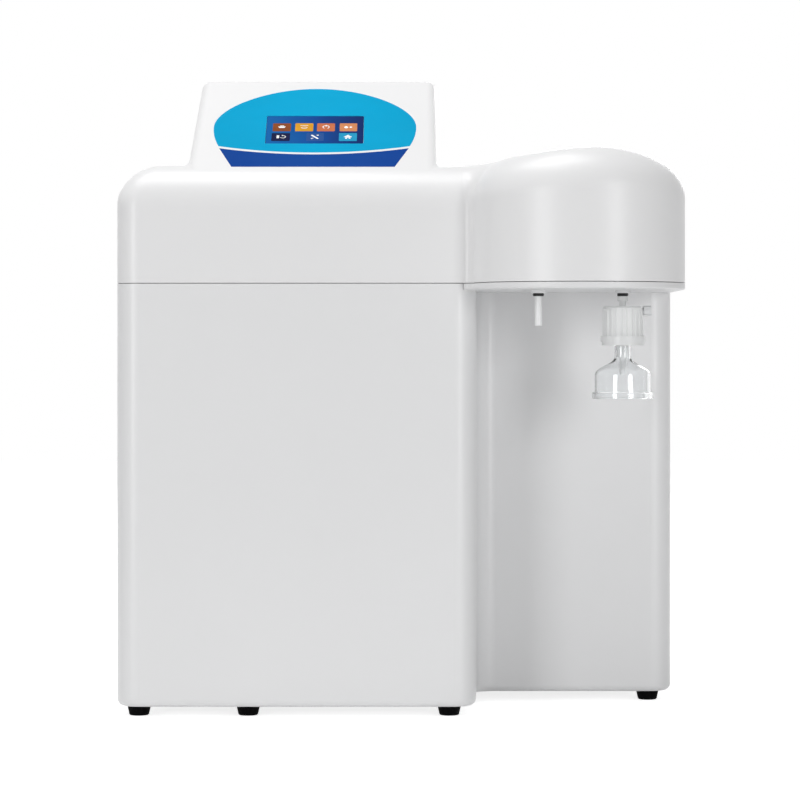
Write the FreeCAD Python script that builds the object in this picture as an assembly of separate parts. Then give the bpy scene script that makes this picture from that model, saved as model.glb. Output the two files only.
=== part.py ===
import FreeCAD, Part
import math
import os

# Bench-top ultrapure water system, in millimetres.
# X runs to the right seen from the front, the front faces -Y, Z is up.
# The origin is on the bench, under the middle of the machine.

# ---------------------------------------------------------------- driving sizes
half_width = 252.0          # cabinet and cover, half of the overall width
front_y = -150.0            # flat front of the cabinet
rear_y = 205.0              # back of the cabinet
foot_height = 9.3
seam_z = 384.6              # top edge of the cabinet
seam_gap = 0.6              # dark line between cabinet and cover
corner_radius = 20.0        # upright corners at the front
rear_corner_radius = 8.0
cabinet_wall = 3.0
bottom_rounding = 6.0
over = 1.0                  # how far a cutting tool runs past a face
past = 10.0                 # and how far where it has to clear a rounding

flank_front_x = 67.0        # inner flank of the dispensing bay, at the front
flank_lean = 4.0            # it runs outwards by this much on its way to the column
bay_depth = 121.0           # from the front of the cabinet to the face of the column
bay_corner_radius = 18.0

head_root_lead = 2.0        # the head's bulge begins this far to the left of the flank
head_reach = 75.0           # how far the head bulges out in front of the cabinet
head_joint_radius = 9.0     # where the bulge grows out of the flat front
cover_wall = 3.0
cover_height = 106.4        # from the top of the cabinet to the cover's flat top
dome_rise = 12.6            # from the flat top to the highest line of the dome
dome_lead = 19.0            # the dome begins this far to the left of the flank
dome_top_shift = 14.5       # its highest line, to the right of the head's middle
dome_fall = 20.5            # drop of the dome line at the right-hand side
ball_corner_share = 1.9     # rounding of the cover's top edge, in radii of the upright corners

pod_left_inset = 60.0       # from the left-hand side of the cover to the foot of the pod
pod_left_lean = 6.0         # its left side leans in by this much up to the ridge
pod_right_gap = 13.5        # from the pod to the start of the dome
pod_slope = 32.0            # degrees from level
pod_face_length = 176.0
pod_top_depth = 12.0
pod_back_lean = 12.0        # degrees from upright
pod_edge_radius = 9.0
pod_foot_radius = 8.0       # hollow curve at the foot of the pod

label_shift = 1.0           # middle line of the label, to the right of the pod's own
label_side_gap = 20.6       # from the label's widest point to the side of the pod
label_top_gap = 14.8        # from the label's crown to the ridge
label_depth = 0.5
label_widest_v = 84.3       # heights v run up the sloping face
label_shoulder_in = 6.1     # the shoulders lie this far inside the widest point
label_shoulder_v = 47.2
label_sag_v = 34.9
strip_in = 7.0              # the ends of the band, inside the label's widest point
strip_shoulder_v = 43.2
strip_sag_v = 31.5
strip_foot_in = 19.7
strip_foot_v = 8.0
screen_width = 88.6
screen_height = 53.8
screen_corner = 1.5
screen_v = 79.4
fit_gap = 0.3               # play between pieces that are dropped into each other

tray_thickness = 5.6        # head tray, overall height of its rim
tray_floor = 2.5
tray_lap = 11.0             # the tray reaches this far past the flank
tray_rear_lap = 5.0         # and this far past the face of the column
tray_edge_radius = 1.5
rib_drop = 0.6              # ribs and bosses end this far under the tray's rim
rib_thickness = 2.0
rib_front_reach = 40.0      # the ribs run this far out into the head
rib_rear_gap = 8.0
left_rib_gap = 30.0         # from the left outlet to its rib
right_rib_gap = 26.0
boss_wall = 6.0

outlet_set_back = 20.0      # both outlets, behind the line of the cabinet's front
left_outlet_shift = 35.1    # to the left of the head's middle
right_outlet_shift = 40.1   # to the right of it
tube_radius = 3.175         # quarter-inch tube
tube_bore_radius = 2.0
port_bore_radius = 3.25
gland_flange_radius = 6.85
gland_flange_height = 2.6
gland_edge = 0.6
gland_stem_radius = 4.9
gland_nut_height = 5.0
gland_nut_hex = 14.0
gland_stand = 3.0           # stem left above the nut
washer_radius = 5.1
washer_height = 2.6
washer_edge = 0.5
nozzle_drop = 31.5          # the nozzle hangs this far below the tray
nozzle_neck_radius = 3.0

capsule_drop = 14.3         # from the tray down to the top of the final filter
capsule_radius = 17.65
capsule_height = 26.7       # down to its flange
capsule_edge = 1.5
capsule_flange_radius = 19.75
capsule_flange_height = 5.0
capsule_cone_height = 8.2   # from the top of the flange to the foot
capsule_cone_in = 1.1
capsule_floor = 4.0         # floor of the chamber, below the top of the flange
capsule_wall = 1.6
capsule_neck_radius = 3.1
capsule_collar_drop = 9.5   # foot of the collar under the gland
capsule_collar_radius = 4.85
capsule_collar_height = 4.0
capsule_plug = 8.0          # how far the plug goes up past the tray's underside
capsule_ribs = 24
capsule_rib_radius = 0.6
spigot_height = 10.4        # spigot that the bell is pushed on
barb_radius = 3.2
barb_root_radius = 2.7
barb_tip_radius = 2.6
barb_height = 4.0
barb_step = 0.2
barb_length = 26.3          # from the capsule's foot to the end of the barb
membrane_pleats = 24
membrane_bore = 2.5
pleat_depth = 3.0
membrane_gap = 1.5          # from the pleats to the wall of the capsule
membrane_top_gap = 2.0
end_disc = 1.5
vent_drop = 3.7             # axis of the side port, below the capsule's top
vent_radius = 2.5
vent_bore = 1.2
vent_port_length = 4.5
vent_port_root = 0.8        # the port starts this far inside the capsule's side
vent_cap_radius = 4.0
vent_cap_length = 7.0
vent_cap_lap = 3.0          # how far the cap goes over the port
vent_spigot_in = 0.5
vent_grips = 8
vent_grip_radius = 0.45
bell_collar_radius = 7.3
bell_radius = 25.0
bell_neck_drop = 10.8       # from the capsule's foot to the end of the bell's neck
bell_shoulder_drop = 22.8   # and to its shoulder
bell_shoulder_run = 4.0
bell_skirt_height = 19.0    # from the shoulder to the foot ring
bell_ring_height = 5.6
bell_ring_radius = 27.3
bell_ring_edge = 1.0
bell_wall = 1.5

rim_width = 12.0            # edge left round the opening in the back
rim_corner = 6.0
panel_ledge = 7.0
panel_thickness = 1.5
panel_screw_side = 9.0      # from the corner of the opening to the first screw
panel_hole_gap = 0.3
top_rail = 42.0             # solid band above the rear opening
port_rise = 49.7            # ports and sensor socket, above the cabinet's floor
feed_port_inset = 62.0      # from the left-hand side to the first port
port_pitch = 40.0
socket_radius = 6.0
socket_flange = 2.5
socket_flange_height = 2.0
socket_reach = 5.0
socket_body_length = 14.0
socket_wall = 1.5
socket_floor = 6.0
contact_circle = 2.6
contact_radius = 0.6
port_hex = 20.0
port_flange = 4.0
port_barrel_radius = 8.0
port_barrel_length = 16.3
port_thread_radius = 7.8
port_inner_length = 22.0
port_stop = 3.0             # where a pushed-in tube stops, from the panel's face
port_nut_height = 5.0
tube_insert = 10.0
collet_radius = 4.6
collet_lip_radius = 5.6
collet_lip = 2.5
collet_length = 8.0
collet_travel = 1.2

inlet_inset = 67.0          # from the right-hand side to the middle of the inlet
inlet_rise = 69.7           # its middle above the cabinet's floor
inlet_half_x = 13.5
inlet_half_z = 27.0
inlet_bezel = 3.0
inlet_rim = 2.5
inlet_corner = 2.0
inlet_depth = 30.0
socket_drop = 15.0          # mains socket below the middle of the inlet
socket_depth = 17.0
socket_half_x = 12.0
socket_half_z = 8.25
socket_chamfer_x = 5.5
socket_chamfer_z = 5.25
blade_recess = 4.6
blade_half_x = 1.0
blade_half_z = 2.0
blade_side = 7.0            # outer contact blades, each side of the middle
blade_shift = 2.0           # the middle blade up, the outer ones down
drawer_drop = 0.5
drawer_half_x = 10.0
drawer_half_z = 3.25
drawer_depth = 26.0
drawer_stand = 0.4
nick_half_x = 2.0
nick_depth = 1.0
nick_height = 1.2
fuse_side = 4.5
fuse_end_gap = 1.5
fuse_radius = 2.5
fuse_length = 20.0
fuse_cap_length = 5.0
fuse_glass_step = 0.25
rocker_lift = 14.0          # power switch above the middle of the inlet
rocker_half_x = 9.5
rocker_half_z = 6.5
rocker_well_gap = 0.8
rocker_well_depth = 8.8
rocker_axis_depth = 4.0
rocker_valley = 0.4
rocker_rise = 2.2
rocker_side_depth = 1.0
rocker_keel = 3.2
rocker_taper = 0.52
rocker_peg_radius = 1.5
rocker_peg = 1.0
rocker_tilt = -10.0         # degrees, at off

vent_field_inset = 130.0    # from each side to the middle of its field of slots
vent_rows = 14
vent_pitch = 9.0
vent_width = 3.5
vent_length = 34.0
vent_bridge = 8.0
vent_rise = 157.7           # lowest row above the cabinet's floor

screw_radius = 1.5
screw_head_radius = 2.9
screw_head_height = 1.8
panel_screw_length = 6.0
foot_hole = 4.2
foot_base_radius = 8.85
foot_top_radius = 10.75
foot_edge = 0.8
foot_seat = 4.0             # height of the washer face inside a foot
foot_side_inset = 19.0      # left-hand feet, from the side
foot_right_inset = 21.0
foot_front_inset = 25.0     # also from the back
foot_second_inset = 116.4
foot_flank_inset = 23.0     # front foot beside the bay, from the flank
foot_column_inset = 24.0    # foot under the column, from its face

label_play = 0.05
screen_sink = 0.3
lcd_border = 6.0
lcd_thickness = 4.5
lcd_tab = 4.0
lcd_tab_share = 0.6         # of the half height, from the middle to a tab
standoff_length = 8.0
standoff_radius = 2.5
board_thickness = 1.6
board_margin = 4.0
board_side_margin = 2.0
chip_half_v = 5.0
display_chips = ((-22.0, 12.0, 9.0, 2.5), (16.0, -8.0, 7.0, 2.0), (-5.0, -20.0, 12.0, 6.0))

plate_thickness = 1.5       # folded sheet inside the machine
rack_side_gap = 7.0         # from the cradle to the left-hand wall
rack_flank_gap = 3.0        # and to the wall of the flank
rack_front_gap = 10.0
rack_corner = 12.0
row_gap = 13.0              # between the two rows of canisters
cradle_height = 14.0
cradle_floor = 2.0
cradle_margin = 6.0
seat_gap = 0.4              # play of a canister in its pocket
canister_height = 300.0
pack_play = 4.0             # a canister's side, from the line midway to the next column
filter_play = 7.0
membrane_play = 12.0
uv_radius = 25.0
uv_flange = 6.0
uv_flange_step = 3.0
uv_top_flange = 15.0
foot_curve = 13.0           # height of a canister's domed foot
band_share = 0.62           # height of the waist band, of the canister's height
band_depth = 1.6
band_height = 8.0
shoulder_height = 20.0
head_share = 0.62           # a head's radius, of its canister's
head_height = 22.0
head_chamfer = 4.0
stub_radius = 6.0
stub_height = 10.0
stub_spread = 16.0
support_drop = 29.8         # from the canisters' tops down to the support plate
post_radius = 5.0
post_thread = 6.0
post_in = 2.0               # the posts stand this far inside the rows' outer lines
tube_bend = 18.0
low_tube_rise = 24.0        # tubes that cross above the canisters, over the stubs
high_tube_rise = 35.7
riser_gap = 42.0            # tubes that rise behind the pump, from the back
side_line = 40.0            # feed line to the left of the first column
feed_turn = 28.0
drain_line_rise = 63.0
drain_side = 36.0

pump_rear_gap = 87.0        # from the pump's axis to the back
pump_side_gap = 22.0        # from the motor's end to the left-hand side
motor_length = 98.0
motor_radius = 32.0
motor_end_step = 6.0
motor_neck = 2.0
pump_head_length = 60.0
pump_head_height = 64.0
pump_head_corner = 9.0
pump_cover_length = 8.0
pump_cover_step = 5.0
pump_stub_spread = 15.0
pump_stub_height = 16.0
pump_tray_start = 6.0
pump_tray_end = 4.0
pump_tray_side = 31.0
saddle_start = 18.0
saddle_end = 24.0
saddle_length = 8.0
saddle_side = 27.0
saddle_height = 28.0
saddle_play = 0.1
mount_radius = 7.0
mount_height = 12.0
mount_waist = 1.5
mount_end = 18.0
mount_side = 22.0

flush_valve_gap = 27.0      # flushing valve, from the line of the flank
valve_half_x = 17.0
valve_half_y = 12.0
valve_corner = 3.0
valve_body_height = 24.0
valve_port_z = 14.0
valve_port_reach = 12.0
valve_port_radius = 6.0
coil_half_x = 12.0
coil_half_y = 14.0
coil_corner = 4.0
coil_height = 30.0
coil_nut_radius = 4.0
coil_nut_height = 3.0
polished_rise = 39.4        # polished line above the outlet stems
permeate_rise = 27.4
tap_turn = 20.4
tap_approach = 70.0
cell_radius = 8.0
cell_length = 44.0
cell_edge = 1.5
probe_radius = 5.5
probe_neck = 1.5
probe_base_height = 13.0
probe_height = 24.0

supply_gap = 8.0            # from the supply to the foot of the board's bracket
supply_set_back = 37.0      # from the face of the column
supply_width = 98.0
supply_length = 159.0
supply_height = 40.0
supply_corner = 2.0
supply_step = 18.0
supply_step_length = 16.0
supply_slots = 7
supply_slot_start = 38.0
supply_slot_pitch = 15.0
supply_slot_width = 5.0
supply_slot_depth = 2.0
supply_slot_margin = 12.0
strip_margin = 8.0
strip_gap = 2.0
strip_depth = 12.0
terminals = 7
terminal_start = 15.0
terminal_pitch = 11.0
terminal_radius = 3.0
terminal_depth = 3.0
ballast_side_gap = 18.0
ballast_rear_gap = 4.0
ballast_length = 120.0
ballast_depth = 26.0
ballast_height = 34.0
ballast_corner = 3.0
bracket_side_gap = 18.0     # from the bracket to the right-hand side
bracket_set_back = 49.0     # from the face of the column
bracket_length = 160.0
bracket_height = 312.0
bracket_foot = 26.0
control_rise = 136.2        # the board's lower edge above the base plate
control_height = 160.0
control_length = 130.0
control_standoff = 8.0
control_corner = 6.0        # fixings, from the board's edges
pillar_radius = 3.0
relays = 5
relay_start = 14.0
relay_pitch = 21.0
relay_length = 16.0
relay_depth = 15.0
relay_low = 40.0
relay_height = 19.0
capacitor_radii = (6.3, 6.3, 5.0, 4.0)
capacitor_start = 22.0
capacitor_pitch = 20.0
capacitor_rise = 90.0
capacitor_depth = 16.0
clamp_low = 14.0            # terminal strips near the board's lower and upper edge
clamp_high = 24.0
clamp_depth = 11.0
clamp_height = 10.0
clamp_margin = 14.0
clamps = 12
clamp_start = 21.0
clamp_pitch = 8.0
clamp_radius = 2.0
clamp_hole_depth = 3.0

hinge_inset = 102.0         # from each side to the middle of its hinge
hinge_stand = 4.2           # axis of the cover hinges, behind the back
hinge_barrel_radius = 3.6
hinge_pin_radius = 1.9
hinge_pin_head = 0.9
hinge_pin_head_height = 1.2
hinge_length = 60.0
hinge_play = 0.4
leaf_height = 34.0
leaf_thickness = 1.2
leaf_curl = 5.76
leaf_screw_drop = 20.0
leaf_screw_length = 3.0
running_gap = 0.05          # radial play of a pin or plug in its bore

# ---------------------------------------------------------------- worked out from them
left_x = -half_width
right_x = half_width
column_y = front_y + bay_depth
flank_rear_x = flank_front_x + flank_lean
head_root_x = flank_front_x - head_root_lead
head_half_width = (right_x - head_root_x) / 2.0
head_x = right_x - head_half_width
floor_z = foot_height + cabinet_wall
plate_z = floor_z + plate_thickness
cover_z = seam_z + seam_gap
tray_z = seam_z - tray_thickness
tray_start_x = flank_front_x - tray_lap
tray_end_y = column_y + tray_rear_lap

cover_top_z = seam_z + cover_height
dome_z = cover_top_z + dome_rise
dome_start_x = flank_front_x - dome_lead
dome_top_x = head_x + dome_top_shift
top_rounding = ball_corner_share * corner_radius
pod_left_base_x = left_x + pod_left_inset
pod_left_top_x = pod_left_base_x + pod_left_lean
pod_right_x = dome_start_x - pod_right_gap
slope = math.radians(pod_slope)
label_x = (pod_left_base_x + pod_right_x) / 2.0 + label_shift
label_half_width = (pod_right_x - pod_left_base_x) / 2.0 - label_side_gap
label_shoulder_half = label_half_width - label_shoulder_in
label_top_v = pod_face_length - label_top_gap
strip_half_width = label_half_width - strip_in
strip_foot_half = label_half_width - strip_foot_in
lcd_half_x = screen_width / 2.0 + lcd_border
lcd_half_v = screen_height / 2.0 + lcd_border
board_depth = cover_wall + fit_gap + lcd_thickness + standoff_length

outlet_y = front_y + outlet_set_back
left_outlet_x = head_x - left_outlet_shift
right_outlet_x = head_x + right_outlet_shift
stem_top_z = seam_z + gland_nut_height + gland_stand
gland_bore = tube_radius + running_gap
nozzle_end_z = tray_z - nozzle_drop
capsule_top_z = tray_z - capsule_drop
capsule_flange_z = capsule_top_z - capsule_height
capsule_foot_z = capsule_flange_z - capsule_cone_height
capsule_collar_z = tray_z - capsule_collar_drop
vent_z = capsule_top_z - vent_drop
barb_end_z = capsule_foot_z - barb_length
bell_shoulder_z = capsule_foot_z - bell_shoulder_drop
bell_ring_z = bell_shoulder_z - bell_skirt_height
bell_foot_z = bell_ring_z - bell_ring_height

port_z = floor_z + port_rise
feed_port_x = left_x + feed_port_inset
tank_port_x = feed_port_x + port_pitch
drain_port_x = tank_port_x + port_pitch
socket_x = drain_port_x + port_pitch
inlet_x = right_x - inlet_inset
inlet_z = floor_z + inlet_rise
inlet_face_y = rear_y + inlet_bezel
socket_z = inlet_z - socket_drop
drawer_z = inlet_z - drawer_drop
rocker_z = inlet_z + rocker_lift
vent_field_x = half_width - vent_field_inset
vent_first_z = floor_z + vent_rise
screw_hole = screw_radius + running_gap
hinge_x = half_width - hinge_inset
hinge_y = rear_y + hinge_stand
hinge_z = (seam_z + cover_z) / 2.0

rack_left_x = left_x + cabinet_wall + rack_side_gap
rack_right_x = flank_front_x - cabinet_wall - rack_flank_gap
rack_front_y = front_y + cabinet_wall + rack_front_gap
column_pitch = (rack_right_x - rack_left_x - 2.0 * cradle_margin + pack_play + filter_play) / 3.0
pack_radius = column_pitch / 2.0 - pack_play
filter_radius = column_pitch / 2.0 - filter_play
membrane_radius = column_pitch / 2.0 - membrane_play
first_column_x = rack_left_x + cradle_margin + pack_radius
row_front_y = rack_front_y + cradle_margin + filter_radius
row_rear_y = row_front_y + filter_radius + row_gap + pack_radius
rack_rear_y = row_rear_y + pack_radius + cradle_margin
canister_foot_z = plate_z + cradle_floor
canister_top_z = canister_foot_z + canister_height
support_z = canister_top_z - support_drop
stub_top_z = canister_top_z + head_height + stub_height
riser_y = rear_y - riser_gap
pump_y = rear_y - pump_rear_gap
pump_start_x = left_x + pump_side_gap
pump_head_x = pump_start_x + motor_length
pump_end_x = pump_head_x + pump_head_length
pump_axis_z = plate_z + mount_height + plate_thickness + motor_neck + motor_radius
pump_stub_top_z = pump_axis_z + pump_head_height / 2.0 + pump_stub_height
flush_valve_x = flank_front_x - flush_valve_gap

bracket_x = right_x - bracket_side_gap
bracket_y0 = column_y + bracket_set_back
supply_x0 = bracket_x - bracket_foot - supply_gap - supply_width
supply_y0 = column_y + supply_set_back
ballast_x0 = left_x + ballast_side_gap
control_z0 = plate_z + control_rise
board_x = bracket_x - control_standoff - board_thickness
board_y0 = bracket_y0 + (bracket_length - control_length) / 2.0


# ---------------------------------------------------------------- helpers
def vec(x, y, z):
    return FreeCAD.Vector(x, y, z)


def block(x0, x1, y0, y1, z0, z1):
    return Part.makeBox(x1 - x0, y1 - y0, z1 - z0, vec(x0, y0, z0))


def rod(radius, start, end):
    """A round bar between two points."""
    line = end - start
    return Part.makeCylinder(radius, line.Length, start, line)


def sleeve(outer, inner, start, end):
    """A round bar with a hole right through it."""
    line = (end - start).normalize()
    return rod(outer, start, end).cut(rod(inner, start - line, end + line))


def hex_prism(across_flats, start, end):
    """A hexagonal bar along X, Y or Z."""
    line = end - start
    radius = across_flats / math.sqrt(3.0)
    side = vec(0, 0, 1).cross(line) if abs(line.z) < 0.5 * line.Length else vec(1, 0, 0).cross(line)
    side.normalize()
    up = FreeCAD.Vector(line).normalize().cross(side)
    corners = []
    for k in range(6):
        turn = math.radians(60.0 * k)
        corners.append(start + side * (radius * math.cos(turn)) + up * (radius * math.sin(turn)))
    return Part.Face(Part.makePolygon(corners + corners[:1])).extrude(line)


def rounded_wire(corners, radii):
    """A closed outline of straight runs, with a tangent arc at each corner that has a radius."""
    count = len(corners)
    starts, ends, middles = [], [], []
    for k in range(count):
        here = corners[k]
        back = (corners[k - 1] - here).normalize()
        ahead = (corners[(k + 1) % count] - here).normalize()
        half = back.getAngle(ahead) / 2.0
        if radii[k] <= 0.0:
            starts.append(here)
            ends.append(here)
            middles.append(None)
            continue
        run = radii[k] / math.tan(half)
        centre_line = (back + ahead).normalize()
        starts.append(here + back * run)
        ends.append(here + ahead * run)
        middles.append(here + centre_line * (radii[k] / math.sin(half) - radii[k]))
    edges = []
    for k in range(count):
        if middles[k] is not None:
            edges.append(Part.Arc(starts[k], middles[k], ends[k]).toShape())
        following = starts[(k + 1) % count]
        if (following - ends[k]).Length > 1e-6:
            edges.append(Part.makeLine(ends[k], following))
    return Part.Wire(edges)


def rounded_block(x0, x1, y0, y1, z0, z1, radius):
    """An upright block with rounded upright edges."""
    corners = [vec(x0, y0, z0), vec(x1, y0, z0), vec(x1, y1, z0), vec(x0, y1, z0)]
    return Part.Face(rounded_wire(corners, [radius] * 4)).extrude(vec(0, 0, z1 - z0))


def turned(profile, x, y):
    """A solid of revolution about an upright axis; the profile lists (radius, z)."""
    points = [vec(x + r, y, z) for r, z in profile]
    face = Part.Face(Part.makePolygon(points + points[:1]))
    return face.revolve(vec(x, y, 0), vec(0, 0, 1), 360)


def turned_about(profile, start, direction):
    """A solid of revolution about any axis; the profile lists (radius, distance along it)."""
    points = [vec(r, 0, h) for r, h in profile]
    face = Part.Face(Part.makePolygon(points + points[:1]))
    solid = face.revolve(vec(0, 0, 0), vec(0, 0, 1), 360)
    solid.Placement = FreeCAD.Placement(start, FreeCAD.Rotation(vec(0, 0, 1), direction))
    return solid


def softened(shape, radius, wanted):
    """Rounds the edges that a test picks."""
    edges = [edge for edge in shape.Edges if wanted(edge)]
    return shape.makeFillet(radius, edges)


def at_height(z):
    """Picks the edges that lie at one height."""
    return lambda edge: abs(edge.BoundBox.ZMin - z) < 0.01 and abs(edge.BoundBox.ZMax - z) < 0.01


def fused(shapes):
    whole = shapes[0]
    for shape in shapes[1:]:
        whole = whole.fuse(shape)
    return whole.removeSplitter()


def piped(points, radius, bend):
    """A tube along straight runs joined by tangent arcs."""
    edges = []
    last = points[0]
    for k in range(1, len(points) - 1):
        here = points[k]
        back = (points[k - 1] - here).normalize()
        ahead = (points[k + 1] - here).normalize()
        half = back.getAngle(ahead) / 2.0
        run = bend / math.tan(half)
        middle = here + (back + ahead).normalize() * (bend / math.sin(half) - bend)
        start = here + back * run
        end = here + ahead * run
        edges.append(Part.makeLine(last, start))
        edges.append(Part.Arc(start, middle, end).toShape())
        last = end
    edges.append(Part.makeLine(last, points[-1]))
    path = Part.Wire(edges)
    ring = Part.Wire(Part.makeCircle(radius, points[0], points[1] - points[0]))
    return path.makePipeShell([ring], True, False)


# ---------------------------------------------------------------- outlines
def cabinet_outline(z, inset):
    """Plan of the cabinet: a main box, the dispensing bay cut out at the right, and the column."""
    corners = [
        vec(left_x, rear_y, z),
        vec(left_x, front_y, z),
        vec(flank_front_x, front_y, z),
        vec(flank_rear_x, column_y, z),
        vec(right_x, column_y, z),
        vec(right_x, rear_y, z),
    ]
    radii = [rear_corner_radius, corner_radius, corner_radius, bay_corner_radius, corner_radius,
             rear_corner_radius]
    wire = rounded_wire(corners, radii)
    if inset:
        wire = wire.makeOffset2D(-inset)
    return wire


def cover_outline(z, inset):
    """Plan of the cover: the main box with the half-ellipse of the head in front."""
    front = front_y + inset
    rear = rear_y - inset
    left = left_x + inset
    right = right_x - inset
    ellipse = Part.Ellipse(vec(head_x, front, z), head_half_width - inset, head_reach)
    bulge = Part.ArcOfEllipse(ellipse, math.pi, 2.0 * math.pi).toShape()
    joint = vec(head_x - head_half_width + inset, front, z)
    return Part.Wire([
        bulge,
        Part.makeLine(vec(right, front, z), vec(right, rear, z)),
        Part.makeLine(vec(right, rear, z), vec(left, rear, z)),
        Part.makeLine(vec(left, rear, z), vec(left, front, z)),
        Part.makeLine(vec(left, front, z), joint),
    ])


def cover_prism(z, height, inset):
    """The cover's plan drawn upwards, with the hollow joint where the head leaves the front."""
    column = Part.Face(cover_outline(z, inset)).extrude(vec(0, 0, height))
    joint_x = head_x - head_half_width + inset
    front = front_y + inset

    def is_joint(edge):
        box = edge.BoundBox
        upright = box.XLength < 0.01 and box.YLength < 0.01
        return upright and abs(box.XMin - joint_x) < 0.01 and abs(box.YMin - front) < 0.01

    return softened(column, head_joint_radius + inset, is_joint)


# ---------------------------------------------------------------- top cover
def under_dome_line(inset):
    """Everything below the top line of the cover: flat, a soft rise to the dome, then the fall."""
    y = rear_y + past
    flat = cover_top_z - inset
    crown = dome_z - inset
    rise = (dome_top_x - dome_start_x) / 3.0
    end_x = right_x + past
    share = (end_x - dome_top_x) / (right_x - dome_top_x)
    end_z = crown - dome_fall * share ** 2
    climb = Part.BezierCurve()
    climb.setPoles([vec(dome_start_x, y, flat), vec(dome_start_x + rise, y, flat),
                    vec(dome_top_x - rise, y, crown), vec(dome_top_x, y, crown)])
    fall = Part.BezierCurve()
    fall.setPoles([vec(dome_top_x, y, crown), vec((dome_top_x + end_x) / 2.0, y, crown),
                   vec(end_x, y, end_z)])
    low = seam_z - past
    start_x = left_x - past
    line = Part.Wire([
        Part.makeLine(vec(start_x, y, flat), vec(dome_start_x, y, flat)),
        climb.toShape(),
        fall.toShape(),
        Part.makeLine(vec(end_x, y, end_z), vec(end_x, y, low)),
        Part.makeLine(vec(end_x, y, low), vec(start_x, y, low)),
        Part.makeLine(vec(start_x, y, low), vec(start_x, y, flat)),
    ])
    depth = rear_y - front_y + head_reach + 2.0 * past
    return Part.Face(line).extrude(vec(0, -depth, 0))


def cover_block(inset):
    """The cover without its pod, as a solid; the same form made smaller gives its inside."""
    body = cover_prism(cover_z - inset, dome_z, inset).common(under_dome_line(inset)).Solids[0]
    # the upright corners and the whole top edge meet in one ball corner, so they are rounded together
    document = FreeCAD.newDocument("cover")
    blank = document.addObject("Part::Feature", "blank")
    blank.Shape = body
    rounding = document.addObject("Part::Fillet", "rounding")
    rounding.Base = blank
    upright_radius = corner_radius - inset / 2.0
    top_radius = top_rounding - inset
    radii = []
    for number, edge in enumerate(body.Edges, 1):
        box = edge.BoundBox
        at_left = abs(box.XMin - left_x - inset) < 0.01
        at_rear = abs(box.YMax - rear_y + inset) < 0.01
        upright = box.XLength < 0.01 and box.YLength < 0.01 and box.ZLength > top_rounding
        across_top = box.ZLength < 0.01 and box.XLength < 0.01 and box.YLength > head_reach
        if box.ZMin > cover_top_z - inset - dome_fall and not upright:
            if not across_top or at_left or box.XMin > right_x - inset - 0.01:
                radii.append((number, top_radius, top_radius))
        elif upright and (at_left or at_rear):
            radii.append((number, upright_radius, upright_radius))
    rounding.Edges = radii
    document.recompute()
    shape = rounding.Shape.copy()
    FreeCAD.closeDocument("cover")
    return shape


def face_point(x, v, lift=0.0):
    """A point on the sloping face of the pod, v up the slope, lift above it."""
    y, z = face_foot()
    return vec(x, y + v * math.cos(slope) - lift * math.sin(slope),
               z + v * math.sin(slope) + lift * math.cos(slope))


def face_foot():
    """Where the sloping face leaves the rounded front edge of the cover."""
    y = front_y + top_rounding * (1.0 - math.sin(slope))
    z = cover_top_z - top_rounding * (1.0 - math.cos(slope))
    return y, z


def pod_block(inset):
    """The raised display pod: a wedge with a sloping face, rounded along its edges."""
    foot_y, foot_z = face_foot()
    low = cover_top_z - top_rounding
    start = face_point(0, inset * math.tan(slope), -inset)
    ridge = face_point(0, pod_face_length - inset, -inset)
    lean = math.tan(math.radians(pod_back_lean))
    back_top_y = ridge.y + pod_top_depth
    back_foot_y = back_top_y + (ridge.z - low) * lean
    side = Part.Face(Part.makePolygon([
        vec(left_x, start.y, start.z),
        vec(left_x, ridge.y, ridge.z),
        vec(left_x, back_top_y, ridge.z),
        vec(left_x, back_foot_y, low),
        vec(left_x, start.y, low),
        vec(left_x, start.y, start.z),
    ])).extrude(vec(2.0 * half_width, 0, 0))
    front = Part.Face(Part.makePolygon([
        vec(pod_left_base_x + inset, foot_y - past, low),
        vec(pod_left_top_x + inset, foot_y - past, ridge.z + over),
        vec(pod_right_x - inset, foot_y - past, ridge.z + over),
        vec(pod_right_x - inset, foot_y - past, low),
        vec(pod_left_base_x + inset, foot_y - past, low),
    ])).extrude(vec(0, back_foot_y - foot_y + 2.0 * past, 0))
    wedge = side.common(front).Solids[0]

    def is_outer(edge):
        box = edge.BoundBox
        return box.ZMax > cover_top_z + pod_edge_radius

    return softened(wedge, pod_edge_radius - inset, is_outer)


def label_frame(depth):
    """Placement that lays an outline drawn in (x, v) on the sloping face, sunk by a depth."""
    origin = face_point(0, 0, -depth)
    return FreeCAD.Placement(origin, FreeCAD.Rotation(vec(1, 0, 0), pod_slope))


def laid(outline, depth, thickness):
    """A sheet on the sloping face: its underside is sunk by depth."""
    sheet = Part.Face(outline).extrude(vec(0, 0, thickness))
    sheet.Placement = label_frame(depth).multiply(sheet.Placement)
    return sheet


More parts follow.
